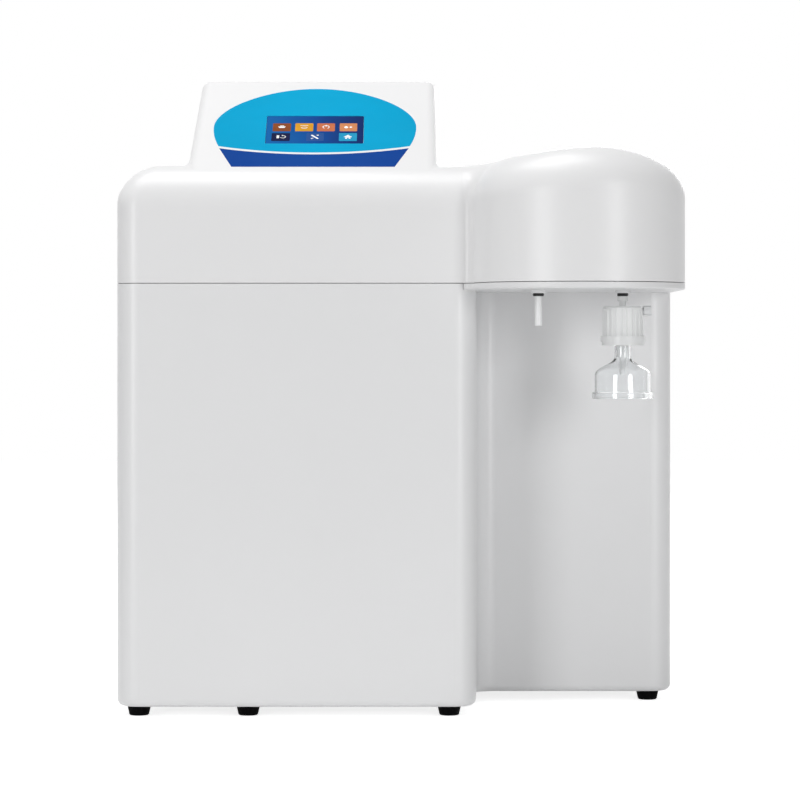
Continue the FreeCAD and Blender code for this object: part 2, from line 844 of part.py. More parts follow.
def label_outline(grow):
    """Wide shield of the upper label: a crowned top, a sagging foot and short slanting sides."""
    half = label_half_width + grow
    shoulder = label_shoulder_half + grow
    top = vec(label_x, label_top_v + grow, 0)
    right = vec(label_x + half, label_widest_v, 0)
    left = vec(label_x - half, label_widest_v, 0)
    right_low = vec(label_x + shoulder, label_shoulder_v - grow, 0)
    left_low = vec(label_x - shoulder, label_shoulder_v - grow, 0)
    crown_right = Part.BezierCurve()
    crown_right.setPoles([top, vec(label_x + 0.50 * half, top.y, 0),
                          vec(label_x + half, top.y - 0.50 * (top.y - right.y), 0), right])
    crown_left = Part.BezierCurve()
    crown_left.setPoles([left, vec(label_x - half, top.y - 0.50 * (top.y - left.y), 0),
                         vec(label_x - 0.50 * half, top.y, 0), top])
    right_side = Part.BezierCurve()
    right_side.setPoles([right, vec(label_x + half, 0.5 * (right.y + right_low.y), 0), right_low])
    left_side = Part.BezierCurve()
    left_side.setPoles([left_low, vec(label_x - half, 0.5 * (left.y + left_low.y), 0), left])
    foot = Part.Arc(right_low, vec(label_x, label_sag_v - grow, 0), left_low).toShape()
    return Part.Wire([crown_right.toShape(), right_side.toShape(), foot, left_side.toShape(),
                      crown_left.toShape()])


def strip_outline(grow):
    """Band under the upper label, with the same sag along its top."""
    right = vec(label_x + strip_half_width + grow, strip_shoulder_v + grow, 0)
    left = vec(label_x - strip_half_width - grow, strip_shoulder_v + grow, 0)
    right_foot = vec(label_x + strip_foot_half + grow, strip_foot_v - grow, 0)
    left_foot = vec(label_x - strip_foot_half - grow, strip_foot_v - grow, 0)
    top = Part.Arc(left, vec(label_x, strip_sag_v + grow, 0), right).toShape()
    return Part.Wire([top, Part.makeLine(right, right_foot), Part.makeLine(right_foot, left_foot),
                      Part.makeLine(left_foot, left)])


def screen_outline(grow):
    half = screen_width / 2.0 + grow
    rise = screen_height / 2.0 + grow
    corners = [vec(label_x - half, screen_v - rise, 0), vec(label_x + half, screen_v - rise, 0),
               vec(label_x + half, screen_v + rise, 0), vec(label_x - half, screen_v + rise, 0)]
    return rounded_wire(corners, [screen_corner] * 4)


def top_cover():
    outer = cover_block(0.0).fuse(pod_block(0.0)).removeSplitter().Solids[0]

    def is_foot(edge):
        box = edge.BoundBox
        level = at_height(cover_top_z)(edge)
        within = box.XMin > pod_left_base_x - over and box.XMax < pod_right_x + over
        beside = box.XLength < 0.1 and box.YLength > pod_foot_radius
        behind = box.YLength < 0.1 and box.XLength > pod_foot_radius
        return level and within and (beside or behind)

    outer = softened(outer, pod_foot_radius, is_foot)
    shell = outer.cut(cover_block(cover_wall).fuse(pod_block(cover_wall)))
    shell = shell.cut(laid(label_outline(label_play), label_depth, past))
    shell = shell.cut(laid(strip_outline(label_play), label_depth, past))
    shell = shell.cut(laid(screen_outline(fit_gap), past, 2.0 * past))
    for x, z in leaf_screw_points(1.0):
        shell = shell.cut(rod(screw_hole, vec(x, rear_y - past, z), vec(x, rear_y + over, z)))
    return shell


# ---------------------------------------------------------------- display
def display_overlay():
    sheet = laid(label_outline(0.0), label_depth, label_depth)
    return sheet.cut(laid(screen_outline(fit_gap), past, 2.0 * past))


def title_strip():
    return laid(strip_outline(0.0), label_depth, label_depth)


def touch_screen():
    return laid(screen_outline(0.0), cover_wall, cover_wall - screen_sink)


def sloping_block(half_x, v0, v1, depth, thickness):
    """A block parallel to the sloping face, centred on the label's middle line."""
    outline = Part.makePolygon([
        vec(label_x - half_x, v0, 0), vec(label_x + half_x, v0, 0),
        vec(label_x + half_x, v1, 0), vec(label_x - half_x, v1, 0), vec(label_x - half_x, v0, 0)])
    return laid(outline, depth, thickness)


def lcd_module():
    """Metal-framed display behind the window, with its folded tabs."""
    depth = cover_wall + lcd_thickness + fit_gap
    frame = sloping_block(lcd_half_x, screen_v - lcd_half_v, screen_v + lcd_half_v, depth,
                          lcd_thickness)
    tabs = []
    for x, v in lcd_screw_points():
        point = face_point(x, v, -cover_wall - fit_gap)
        base = face_point(x, v, -depth)
        tabs.append(rod(lcd_tab, base, point).cut(rod(screw_hole, base, point)))
    return fused([frame] + tabs)


def lcd_screw_points():
    points = []
    for side in (-1.0, 1.0):
        for v in (screen_v - lcd_tab_share * lcd_half_v, screen_v + lcd_tab_share * lcd_half_v):
            points.append((label_x + side * (lcd_half_x + lcd_tab / 2.0), v))
    return points


def display_board():
    """Circuit board that drives the display, with its plugs and chips on the underside."""
    depth = board_depth + board_thickness
    half_x = lcd_half_x + lcd_tab + board_side_margin
    half_v = lcd_half_v + board_margin
    board = sloping_block(half_x, screen_v - half_v, screen_v + half_v, depth, board_thickness)
    for x, v in lcd_screw_points():
        board = board.cut(rod(screw_hole, face_point(x, v, -depth - over),
                              face_point(x, v, -depth + board_thickness + over)))
    items = [board]
    for x_shift, v_shift, half, height in display_chips:
        x = label_x + x_shift
        v = screen_v + v_shift
        items.append(laid(Part.makePolygon([
            vec(x - half, v - chip_half_v, 0), vec(x + half, v - chip_half_v, 0),
            vec(x + half, v + chip_half_v, 0), vec(x - half, v + chip_half_v, 0),
            vec(x - half, v - chip_half_v, 0)]), depth + height, height))
    return fused(items)


def display_standoffs():
    """Threaded pillars between the display frame and the board."""
    pillars = []
    for x, v in lcd_screw_points():
        start = face_point(x, v, -board_depth)
        end = face_point(x, v, -board_depth + standoff_length)
        pillars.append(sleeve(standoff_radius, screw_hole, start, end))
    return Part.Compound(pillars)


def display_screws():
    """Screws from the board through the pillars and the frame into the back of the pod's face."""
    screws = []
    for x, v in lcd_screw_points():
        head = face_point(x, v, -board_depth - board_thickness - screw_head_height)
        seat = face_point(x, v, -board_depth - board_thickness)
        end = face_point(x, v, -cover_wall)
        screws.append(rod(screw_head_radius, head, seat).fuse(rod(screw_radius, seat, end)))
    return Part.Compound(screws)


# ---------------------------------------------------------------- cabinet and head tray
def tray_region(margin, z0, z1):
    """The part of the plan that the head tray covers."""
    return block(tray_start_x + margin, right_x + past, front_y - head_reach - past,
                 tray_end_y - margin, z0, z1)


def rear_opening(margin, y0, y1):
    """The opening in the back of the cabinet, or the panel that closes it when grown by a margin."""
    low = floor_z + rim_width
    high = seam_z - top_rail
    corners = [vec(left_x + rim_width - margin, y0, low - margin),
               vec(right_x - rim_width + margin, y0, low - margin),
               vec(right_x - rim_width + margin, y0, high + margin),
               vec(left_x + rim_width - margin, y0, high + margin)]
    return Part.Face(rounded_wire(corners, [rim_corner + margin] * 4)).extrude(vec(0, y1 - y0, 0))


def panel_screw_points():
    """Screw places along the ledge of the rear opening."""
    low = floor_z + rim_width - panel_ledge / 2.0
    high = seam_z - top_rail + panel_ledge / 2.0
    side = half_width - rim_width + panel_ledge / 2.0
    points = []
    for z in (low + panel_screw_side, (low + high) / 2.0, high - panel_screw_side):
        points += [(-side, z), (side, z)]
    for x in (-side / 2.5, side / 2.5):
        points += [(x, low), (x, high)]
    return points


def foot_points():
    """Three feet along the front, one under the face of the column and two at the back."""
    return [(left_x + foot_side_inset, front_y + foot_front_inset),
            (left_x + foot_second_inset, front_y + foot_front_inset),
            (flank_front_x - foot_flank_inset, front_y + foot_front_inset),
            (right_x - foot_right_inset, column_y + foot_column_inset),
            (left_x + foot_side_inset, rear_y - foot_front_inset),
            (right_x - foot_right_inset, rear_y - foot_front_inset)]


def hinge_spans():
    """Knuckles along X from the hinge's middle: the fixed pair, and the turning one between them."""
    sixth = hinge_length / 6.0
    fixed = [(-hinge_length / 2.0, -sixth - hinge_play), (sixth + hinge_play, hinge_length / 2.0)]
    turning = [(-sixth + hinge_play, sixth - hinge_play)]
    return fixed, turning


def cabinet_shell():
    """Wrap-round moulding with its own floor: open at the top, and at the back behind the panel."""
    outer = Part.Face(cabinet_outline(foot_height, 0.0)).extrude(vec(0, 0, seam_z - foot_height))
    outer = softened(outer, bottom_rounding, at_height(foot_height))
    inner = Part.Face(cabinet_outline(floor_z, cabinet_wall)).extrude(vec(0, 0, seam_z))
    shell = outer.cut(inner)
    shell = shell.cut(tray_region(0.0, tray_z, seam_z + past))
    shell = shell.cut(rear_opening(0.0, rear_y - past, rear_y + past))
    shell = shell.cut(rear_opening(panel_ledge + fit_gap, rear_y - panel_thickness, rear_y + past))
    holes = []
    for x, z in panel_screw_points():
        holes.append(rod(screw_hole, vec(x, rear_y - past, z), vec(x, rear_y, z)))
    for x, y in foot_points():
        holes.append(rod(screw_hole, vec(x, y, 0), vec(x, y, floor_z + over)))
    for x, z in leaf_screw_points(-1.0):
        holes.append(rod(screw_hole, vec(x, rear_y - past, z), vec(x, rear_y + over, z)))
    return shell.cut(Part.Compound(holes))


def head_tray():
    """Underside of the head: a shallow tray that lies on the lowered walls of the bay."""
    outer = cover_prism(tray_z, tray_thickness, 0.0)
    outer = outer.common(tray_region(fit_gap, tray_z - over, seam_z + over))

    def is_lip(edge):
        return at_height(tray_z)(edge) and edge.BoundBox.YMin < front_y - over

    outer = softened(outer, tray_edge_radius, is_lip)
    pocket = cover_prism(tray_z + tray_floor, tray_thickness, cover_wall)
    pocket = pocket.common(tray_region(cover_wall + fit_gap, tray_z, seam_z + past))
    tray = outer.cut(pocket)
    ribs = []
    root_z = tray_z + tray_floor / 2.0
    half = rib_thickness / 2.0
    middle_x = (left_outlet_x + right_outlet_x) / 2.0
    for x in (left_outlet_x - left_rib_gap, middle_x, right_outlet_x + right_rib_gap):
        ribs.append(block(x - half, x + half, front_y - rib_front_reach, tray_end_y - rib_rear_gap,
                          root_z, seam_z - rib_drop))
    for x in (left_outlet_x, right_outlet_x):
        ribs.append(rod(gland_stem_radius + boss_wall, vec(x, outlet_y, root_z),
                        vec(x, outlet_y, seam_z - rib_drop)))
    tray = fused([tray] + ribs)
    for x in (left_outlet_x, right_outlet_x):
        tray = tray.cut(rod(gland_stem_radius + running_gap, vec(x, outlet_y, tray_z - over),
                            vec(x, outlet_y, seam_z + over)))
    return tray


def leaf_screw_points(side):
    """Screw places of the hinge leaves: side -1 on the cabinet, +1 on the cover."""
    points = []
    for middle in (-hinge_x, hinge_x):
        for step in (-1.0, 0.0, 1.0):
            points.append((middle + step * hinge_length / 3.0, hinge_z + side * leaf_screw_drop))
    return points


def hinge_leaf(middle, side, own, other):
    """One leaf with its knuckles; side -1 hangs down on the cabinet, +1 stands up on the cover."""
    low, high = sorted((hinge_z + side * hinge_play, hinge_z + side * leaf_height))
    half = hinge_length / 2.0
    leaf = block(middle - half, middle + half, rear_y, rear_y + leaf_thickness, low, high)

    def on_axis(x, z=hinge_z):
        return vec(middle + x, hinge_y, z)

    for x0, x1 in own:
        barrel = rod(hinge_barrel_radius, on_axis(x0), on_axis(x1))
        bend_z = hinge_z + side * leaf_curl
        web_low, web_high = sorted((hinge_z, bend_z))
        web = block(middle + x0, middle + x1, rear_y + leaf_thickness / 2.0, hinge_y, web_low, web_high)
        hollow = rod(leaf_curl - leaf_thickness, on_axis(x0, bend_z), on_axis(x1, bend_z))
        leaf = leaf.fuse(barrel).fuse(web.cut(hollow))
    for x0, x1 in other:
        leaf = leaf.cut(rod(hinge_barrel_radius + hinge_play, on_axis(x0 - hinge_play),
                            on_axis(x1 + hinge_play)))
    leaf = leaf.cut(rod(hinge_pin_radius + running_gap, on_axis(-hinge_length), on_axis(hinge_length)))
    for x, z in leaf_screw_points(side):
        leaf = leaf.cut(rod(screw_hole, vec(x, rear_y - over, z), vec(x, rear_y + past, z)))
    return leaf.removeSplitter()


def hinge_leaves(side):
    fixed, turning = hinge_spans()
    own, other = (fixed, turning) if side < 0 else (turning, fixed)
    return Part.Compound([hinge_leaf(middle, side, own, other) for middle in (-hinge_x, hinge_x)])


def hinge_pins():
    """Pins with a flat head at each end, outside the knuckles."""
    pins = []
    reach = hinge_length / 2.0
    for middle in (-hinge_x, hinge_x):
        left_end = vec(middle - reach, hinge_y, hinge_z)
        right_end = vec(middle + reach, hinge_y, hinge_z)
        pin = rod(hinge_pin_radius, left_end, right_end)
        head_radius = hinge_pin_radius + hinge_pin_head
        for start, side in ((left_end, -1.0), (right_end, 1.0)):
            end = start + vec(side * hinge_pin_head_height, 0, 0)
            pin = pin.fuse(rod(head_radius, start, end))
        pins.append(pin.removeSplitter())
    return Part.Compound(pins)


def pan_screw(point, direction, length):
    """A pan-head screw: the head stands out of the face that the point lies on."""
    out = FreeCAD.Vector(direction).normalize()
    head = turned_about([(0, 0), (screw_head_radius, 0), (screw_head_radius, 0.4 * screw_head_height),
                         (0.6 * screw_head_radius, screw_head_height), (0, screw_head_height)], point, out)
    slot_foot = point + out * (0.35 * screw_head_height)
    slot = rod(0.6 * screw_radius, slot_foot, point + out * (screw_head_height + over))
    return head.cut(slot).fuse(rod(screw_radius, point - out * length, point)).removeSplitter()


def leaf_screws(side):
    length = leaf_thickness + leaf_screw_length
    return Part.Compound([pan_screw(vec(x, rear_y + leaf_thickness, z), vec(0, 1, 0), length)
                          for x, z in leaf_screw_points(side)])


# ---------------------------------------------------------------- back of the machine
def port_places():
    return [feed_port_x, tank_port_x, drain_port_x]


def rear_panel():
    """Sheet that closes the back, with two fields of vent slots and the cut-outs for its fittings."""
    panel = rear_opening(panel_ledge, rear_y - panel_thickness, rear_y)
    cuts = []

    def hole(radius, x, z):
        return rod(radius, vec(x, rear_y - past, z), vec(x, rear_y + past, z))

    for x, z in panel_screw_points():
        cuts.append(hole(screw_radius + panel_hole_gap, x, z))
    for x in port_places():
        cuts.append(hole(port_thread_radius + running_gap, x, port_z))
    cuts.append(hole(socket_radius + running_gap, socket_x, port_z))
    wide = inlet_half_x + fit_gap
    tall = inlet_half_z + fit_gap
    cuts.append(block(inlet_x - wide, inlet_x + wide, rear_y - past, rear_y + past, inlet_z - tall,
                      inlet_z + tall))
    for field_x in (-vent_field_x, vent_field_x):
        for row in range(vent_rows):
            for column in (-1.0, 0.0, 1.0):
                x = field_x + column * (vent_length + vent_bridge)
                z = vent_first_z + row * vent_pitch
                slot = block(x - vent_length / 2.0, x + vent_length / 2.0, rear_y - past, rear_y + past,
                             z - vent_width / 2.0, z + vent_width / 2.0)
                cuts.append(slot)
    return panel.cut(Part.Compound(cuts))


def panel_screws():
    return Part.Compound([pan_screw(vec(x, rear_y, z), vec(0, 1, 0), panel_screw_length)
                          for x, z in panel_screw_points()])


def port_body(x):
    """Push-fit bulkhead: hexagon and mouth outside, thread and a second mouth inside."""
    outer_y = rear_y + port_barrel_length
    inner_y = rear_y - port_inner_length

    def bar(radius, y0, y1):
        return rod(radius, vec(x, y0, port_z), vec(x, y1, port_z))

    outside = hex_prism(port_hex, vec(x, rear_y, port_z), vec(x, rear_y + port_flange, port_z))
    barrel = bar(port_barrel_radius, rear_y + port_flange, outer_y)
    thread = bar(port_thread_radius, inner_y, rear_y)
    mouth = bar(collet_radius + running_gap, outer_y - collet_length, outer_y + over)
    seat = bar(port_bore_radius, rear_y + port_stop, outer_y)
    inner = bar(tube_radius + running_gap, inner_y - over, inner_y + tube_insert)
    through = bar(tube_bore_radius, inner_y, outer_y)
    return fused([outside, barrel, thread]).cut(fused([mouth, seat])).cut(inner).cut(through)


def port_collet(x):
    """Release sleeve of a port: it is pressed in to let the tube go."""
    y0 = rear_y + port_barrel_length - collet_length + collet_travel + fit_gap
    y1 = rear_y + port_barrel_length + collet_travel
    ring = rod(collet_radius, vec(x, y0, port_z), vec(x, y1 + collet_lip / 2.0, port_z))
    lip = rod(collet_lip_radius, vec(x, y1, port_z), vec(x, y1 + collet_lip, port_z))
    bore = rod(port_bore_radius, vec(x, y0 - over, port_z), vec(x, y1 + collet_lip + over, port_z))
    return ring.fuse(lip).cut(bore).removeSplitter()


def port_nut(x):
    start = vec(x, rear_y - panel_thickness - port_nut_height, port_z)
    end = vec(x, rear_y - panel_thickness, port_z)
    nut = hex_prism(port_hex, start, end)
    return nut.cut(rod(port_thread_radius + running_gap, start - vec(0, 1, 0), end + vec(0, 1, 0)))


def tank_socket():
    """Round four-pole socket for the tank's level sensor."""
    start = vec(socket_x, rear_y - socket_body_length, port_z)
    face = vec(socket_x, rear_y, port_z)
    end = vec(socket_x, rear_y + socket_reach, port_z)
    flange = rod(socket_radius + socket_flange, face, face + vec(0, socket_flange_height, 0))
    body = rod(socket_radius, start, end).fuse(flange)
    floor = vec(socket_x, rear_y - socket_floor, port_z)
    body = body.cut(rod(socket_radius - socket_wall, floor, end + vec(0, over, 0)))
    contacts = []
    for k in range(4):
        turn = math.radians(45.0 + 90.0 * k)
        side = vec(contact_circle * math.cos(turn), 0, contact_circle * math.sin(turn))
        contacts.append(rod(contact_radius, floor + side - vec(0, over, 0), face + side))
    return fused([body] + contacts)


def power_inlet():
    """Mains inlet with a fuse holder and the housing of the power switch, snapped in the panel."""
    face = inlet_face_y
    wide = inlet_half_x + inlet_rim
    tall = inlet_half_z + inlet_rim
    rim = [vec(inlet_x - wide, rear_y, inlet_z - tall), vec(inlet_x + wide, rear_y, inlet_z - tall),
           vec(inlet_x + wide, rear_y, inlet_z + tall), vec(inlet_x - wide, rear_y, inlet_z + tall)]
    bezel = Part.Face(rounded_wire(rim, [inlet_corner] * 4))
    body = bezel.extrude(vec(0, inlet_bezel, 0))
    body = body.fuse(block(inlet_x - inlet_half_x, inlet_x + inlet_half_x, rear_y - inlet_depth, rear_y,
                           inlet_z - inlet_half_z, inlet_z + inlet_half_z))
    deep = face - socket_depth
    low = socket_z - socket_half_z
    high = socket_z + socket_half_z
    chamfer_x = socket_half_x - socket_chamfer_x
    chamfer_z = high - socket_chamfer_z
    corners = [vec(inlet_x - socket_half_x, deep, low), vec(inlet_x + socket_half_x, deep, low),
               vec(inlet_x + socket_half_x, deep, chamfer_z), vec(inlet_x + chamfer_x, deep, high),
               vec(inlet_x - chamfer_x, deep, high), vec(inlet_x - socket_half_x, deep, chamfer_z)]
    mouth = Part.Face(Part.makePolygon(corners + corners[:1]))
    body = body.cut(mouth.extrude(vec(0, socket_depth + over, 0)))
    body = body.cut(block(inlet_x - drawer_half_x - fit_gap, inlet_x + drawer_half_x + fit_gap,
                          face - drawer_depth - fit_gap, face + over,
                          drawer_z - drawer_half_z - fit_gap, drawer_z + drawer_half_z + fit_gap))
    well = rocker_half_z + rocker_well_gap
    body = body.cut(block(inlet_x - rocker_half_x - fit_gap, inlet_x + rocker_half_x + fit_gap,
                          face - rocker_well_depth, face + over, rocker_z - well, rocker_z + well))
    reach = rocker_half_x + rocker_peg + fit_gap
    axis = vec(inlet_x, face - rocker_axis_depth, rocker_z)
    body = body.cut(rod(rocker_peg_radius + running_gap, axis - vec(reach, 0, 0), axis + vec(reach, 0, 0)))
    return body.removeSplitter()


def inlet_pins():
    """The three contact blades of the mains inlet."""
    blades = []
    for x_shift, z_shift in ((-blade_side, -blade_shift), (blade_side, -blade_shift), (0.0, blade_shift)):
        x = inlet_x + x_shift
        z = socket_z + z_shift
        blades.append(block(x - blade_half_x, x + blade_half_x, inlet_face_y - socket_depth,
                            inlet_face_y - blade_recess, z - blade_half_z, z + blade_half_z))
    return Part.Compound(blades)


def fuse_drawer():
    """Small drawer that carries the fuses, with a nick to hook a screwdriver in."""
    face = inlet_face_y
    low = drawer_z - drawer_half_z
    drawer = block(inlet_x - drawer_half_x, inlet_x + drawer_half_x, face - drawer_depth,
                   face + drawer_stand, low, drawer_z + drawer_half_z)
    nick = block(inlet_x - nick_half_x, inlet_x + nick_half_x, face - nick_depth, face + over,
                 low - over, low + nick_height)
    drawer = drawer.cut(nick)
    for x in fuse_places():
        start = vec(x, face - drawer_depth + fuse_end_gap, drawer_z)
        end = start + vec(0, fuse_length + fit_gap, 0)
        drawer = drawer.cut(rod(fuse_radius + running_gap, start, end))
    return drawer


def fuse_places():
    return [inlet_x - fuse_side, inlet_x + fuse_side]


def fuses():
    """Two glass-tube fuses with their metal end caps."""
    pair = []
    for x in fuse_places():
        start = vec(x, inlet_face_y - drawer_depth + fuse_end_gap, drawer_z)
        end = start + vec(0, fuse_length, 0)
        cap = vec(0, fuse_cap_length, 0)
        glass = rod(fuse_radius - fuse_glass_step, start, end)
        pair.append(fused([glass, rod(fuse_radius, start, start + cap), rod(fuse_radius, end - cap, end)]))
    return Part.Compound(pair)


def rocker_switch():
    """Rocker with two sloping halves, tilted to its off position about the pegs at its sides."""
    axis = vec(inlet_x, inlet_face_y - rocker_axis_depth, rocker_z)
    x = inlet_x - rocker_half_x
    side_y = axis.y - rocker_side_depth
    side_z = rocker_half_z - rocker_taper
    outline = Part.makePolygon([
        vec(x, inlet_face_y + rocker_valley, axis.z),
        vec(x, inlet_face_y + rocker_rise, axis.z + rocker_half_z),
        vec(x, side_y, axis.z + side_z),
        vec(x, axis.y - rocker_keel, axis.z),
        vec(x, side_y, axis.z - side_z),
        vec(x, inlet_face_y + rocker_rise, axis.z - rocker_half_z),
        vec(x, inlet_face_y + rocker_valley, axis.z)])
    rocker = Part.Face(outline).extrude(vec(2.0 * rocker_half_x, 0, 0))
    reach = vec(rocker_half_x + rocker_peg, 0, 0)
    pegs = rod(rocker_peg_radius, axis - reach, axis + reach)
    rocker = rocker.fuse(pegs).removeSplitter()
    rocker.rotate(axis, vec(1, 0, 0), rocker_tilt)
    return rocker


# ---------------------------------------------------------------- feet
def foot(x, y):
    """Tapered rubber foot with a recess for its screw."""
    profile = [(foot_hole, 0.0), (foot_base_radius - foot_edge, 0.0), (foot_base_radius, foot_edge),
               (foot_top_radius, foot_height), (screw_hole, foot_height),
               (screw_hole, foot_seat), (foot_hole, foot_seat)]
    return turned(profile, x, y)


def foot_screw(x, y):
    profile = [(0.0, foot_seat - screw_head_height), (screw_head_radius, foot_seat - screw_head_height),
               (screw_head_radius, foot_seat), (screw_radius, foot_seat), (screw_radius, floor_z),
               (0.0, floor_z)]
    return turned(profile, x, y)


# ---------------------------------------------------------------- outlets, capsule and bell
def outlet_gland(x):
    """Fitting that carries an outlet: a flange under the tray and a stem up through it."""
    low = tray_z - gland_flange_height
    profile = [(gland_bore, low), (gland_flange_radius - gland_edge, low),
               (gland_flange_radius, low + gland_edge),
               (gland_flange_radius, tray_z), (gland_stem_radius, tray_z), (gland_stem_radius, stem_top_z),
               (gland_bore, stem_top_z)]
    return turned(profile, x, outlet_y)


def gland_nut(x):
    low = vec(x, outlet_y, seam_z - rib_drop)
    high = low + vec(0, 0, gland_nut_height)
    nut = hex_prism(gland_nut_hex, low, high)
    beyond = vec(0, 0, over)
    return nut.cut(rod(gland_stem_radius + running_gap, low - beyond, high + beyond))


def outlet_washer(x):
    """Black sealing ring under the flange."""
    top = tray_z - gland_flange_height
    bore = tube_radius + 3.0 * running_gap
    low = top - washer_height
    return turned([(bore, low), (washer_radius - washer_edge, low), (washer_radius, (low + top) / 2.0),
                   (washer_radius - washer_edge, top), (bore, top)], x, outlet_y)


def outlet_tube():
    """Nozzle that hangs from the left fitting, slimmer where it passes up through it."""
    neck_z = tray_z - gland_flange_height - washer_height
    return turned([(tube_bore_radius, nozzle_end_z), (tube_radius, nozzle_end_z), (tube_radius, neck_z),
                   (nozzle_neck_radius, neck_z), (nozzle_neck_radius, stem_top_z),
                   (tube_bore_radius, stem_top_z)], left_outlet_x, outlet_y)


def capsule_axis(z):
    return vec(right_outlet_x, outlet_y, z)


def filter_capsule():
    """Final filter: plug, ribbed body with a side port, flange, and the barb inside the bell."""
    plug_top = tray_z + capsule_plug
    chamber = capsule_radius - capsule_wall
    chamber_top = capsule_top_z - capsule_wall
    chamber_foot = capsule_flange_z - capsule_floor
    flange_low = capsule_flange_z - capsule_flange_height
    spigot = bell_collar_radius - bell_wall - running_gap
    spigot_foot = capsule_foot_z - spigot_height
    barb_top = barb_end_z + barb_height
    collar_top = capsule_collar_z + capsule_collar_height
    profile = [
        (tube_bore_radius, barb_end_z), (barb_tip_radius, barb_end_z), (barb_radius, barb_top),
        (barb_root_radius, barb_top + barb_step), (barb_root_radius, spigot_foot),
        (spigot, spigot_foot), (spigot, capsule_foot_z),
        (capsule_flange_radius - capsule_cone_in, capsule_foot_z),
        (capsule_flange_radius - capsule_cone_in, flange_low),
        (capsule_flange_radius, flange_low), (capsule_flange_radius, capsule_flange_z),
        (capsule_radius, capsule_flange_z), (capsule_radius, capsule_top_z - capsule_edge),
        (capsule_radius - capsule_edge, capsule_top_z), (capsule_neck_radius, capsule_top_z),
        (capsule_neck_radius, capsule_collar_z), (capsule_collar_radius, capsule_collar_z),
        (capsule_collar_radius, collar_top), (tube_radius, collar_top), (tube_radius, plug_top),
        (tube_bore_radius, plug_top), (tube_bore_radius, chamber_top), (chamber, chamber_top),
        (chamber, chamber_foot), (tube_bore_radius, chamber_foot)]
    body = turned(profile, right_outlet_x, outlet_y)
    rib_height = vec(0, 0, capsule_height - 2.0 * capsule_edge)
    ribs = []
    for k in range(capsule_ribs):
        turn = 2.0 * math.pi * (k + 0.5) / capsule_ribs
        low = capsule_axis(capsule_flange_z) + vec(math.cos(turn), math.sin(turn), 0) * capsule_radius
        ribs.append(rod(capsule_rib_radius, low, low + rib_height))
    port_start = capsule_axis(vent_z) + vec(capsule_radius - vent_port_root, 0, 0)
    port_end = port_start + vec(vent_port_length, 0, 0)
    whole = fused([body] + ribs + [rod(vent_radius, port_start, port_end)])
    bore_start = capsule_axis(vent_z) + vec(chamber - over, 0, 0)
    return whole.cut(rod(vent_bore, bore_start, port_end + vec(over, 0, 0)))


def vent_cap():
    """Knurled cap that turns on the side port to open the vent."""
    start_x = capsule_radius - vent_port_root + vent_port_length - vent_cap_lap
    start = capsule_axis(vent_z) + vec(start_x, 0, 0)
    cap = rod(vent_cap_radius, start, start + vec(vent_cap_length, 0, 0))
    grips = []
    for k in range(vent_grips):
        turn = 2.0 * math.pi * k / vent_grips
        foot_point = start + vec(0.0, vent_cap_radius * math.cos(turn), vent_cap_radius * math.sin(turn))
        grips.append(rod(vent_grip_radius, foot_point, foot_point + vec(vent_cap_length, 0, 0)))
    cap = fused([cap] + grips)
    pocket = rod(vent_radius + running_gap, start - vec(over, 0, 0),
                 start + vec(vent_cap_lap + fit_gap, 0, 0))
    spigot = rod(vent_bore - running_gap, start + vec(over, 0, 0),
                 start + vec(vent_cap_length - vent_spigot_in, 0, 0))
    return cap.cut(pocket).fuse(spigot).removeSplitter()


def capsule_membrane():
    """Pleated membrane ring with its end discs, inside the capsule."""
    low = capsule_flange_z - capsule_floor + fit_gap
    high = capsule_top_z - capsule_wall - membrane_top_gap
    outer = capsule_radius - capsule_wall - membrane_gap
    points = []
    for k in range(2 * membrane_pleats):
        radius = outer if k % 2 else outer - pleat_depth
        turn = math.pi * k / membrane_pleats
        points.append(capsule_axis(low) + vec(radius * math.cos(turn), radius * math.sin(turn), 0))
    star = Part.Face(Part.makePolygon(points + points[:1])).extrude(vec(0, 0, high - low))
    discs = [rod(outer, capsule_axis(z), capsule_axis(z + end_disc)) for z in (low, high - end_disc)]
    bore = rod(membrane_bore, capsule_axis(low - over), capsule_axis(high - 2.0 * end_disc))
    return fused([star] + discs).cut(bore)


def dispensing_bell():
    """Clear bell that shields the outlet: collar, domed shoulder, straight skirt and foot ring."""
    def half(inset):
        """Outline from the collar down to the skirt, made smaller by the wall inside."""
        reach = bell_radius - inset
        neck = bell_collar_radius - inset
        top = capsule_foot_z - fit_gap
        throat = capsule_foot_z - bell_neck_drop
        shoulder_low = bell_shoulder_z - bell_shoulder_run
        pull = (throat - bell_shoulder_z) / 2.0
        bend = Part.BezierCurve()
        bend.setPoles([vec(neck, 0, throat), vec(neck + bell_shoulder_run / 4.0, 0, throat - pull),
                       vec(reach, 0, bell_shoulder_z + bell_shoulder_run), vec(reach, 0, shoulder_low)])
        return top, throat, neck, reach, shoulder_low, bend

    def solid(inset, low):
        top, throat, neck, reach, shoulder_low, bend = half(inset)
        top = top + over if inset else top
        outline = Part.Wire([
            Part.makeLine(vec(0, 0, top), vec(neck, 0, top)),
            Part.makeLine(vec(neck, 0, top), vec(neck, 0, throat)),
            bend.toShape(),
            Part.makeLine(vec(reach, 0, shoulder_low), vec(reach, 0, low)),
            Part.makeLine(vec(reach, 0, low), vec(0, 0, low)),
            Part.makeLine(vec(0, 0, low), vec(0, 0, top))])
        shape = Part.Face(outline).revolve(vec(0, 0, 0), vec(0, 0, 1), 360)
        shape.translate(vec(right_outlet_x, outlet_y, 0))
        return shape

    ring = rod(bell_ring_radius, capsule_axis(bell_foot_z), capsule_axis(bell_ring_z))
    ring = softened(ring, bell_ring_edge,
                    lambda edge: at_height(bell_foot_z)(edge) or at_height(bell_ring_z)(edge))
    outer = solid(0.0, bell_foot_z + bell_ring_edge).fuse(ring)
    return outer.cut(solid(bell_wall, bell_foot_z - over)).removeSplitter()


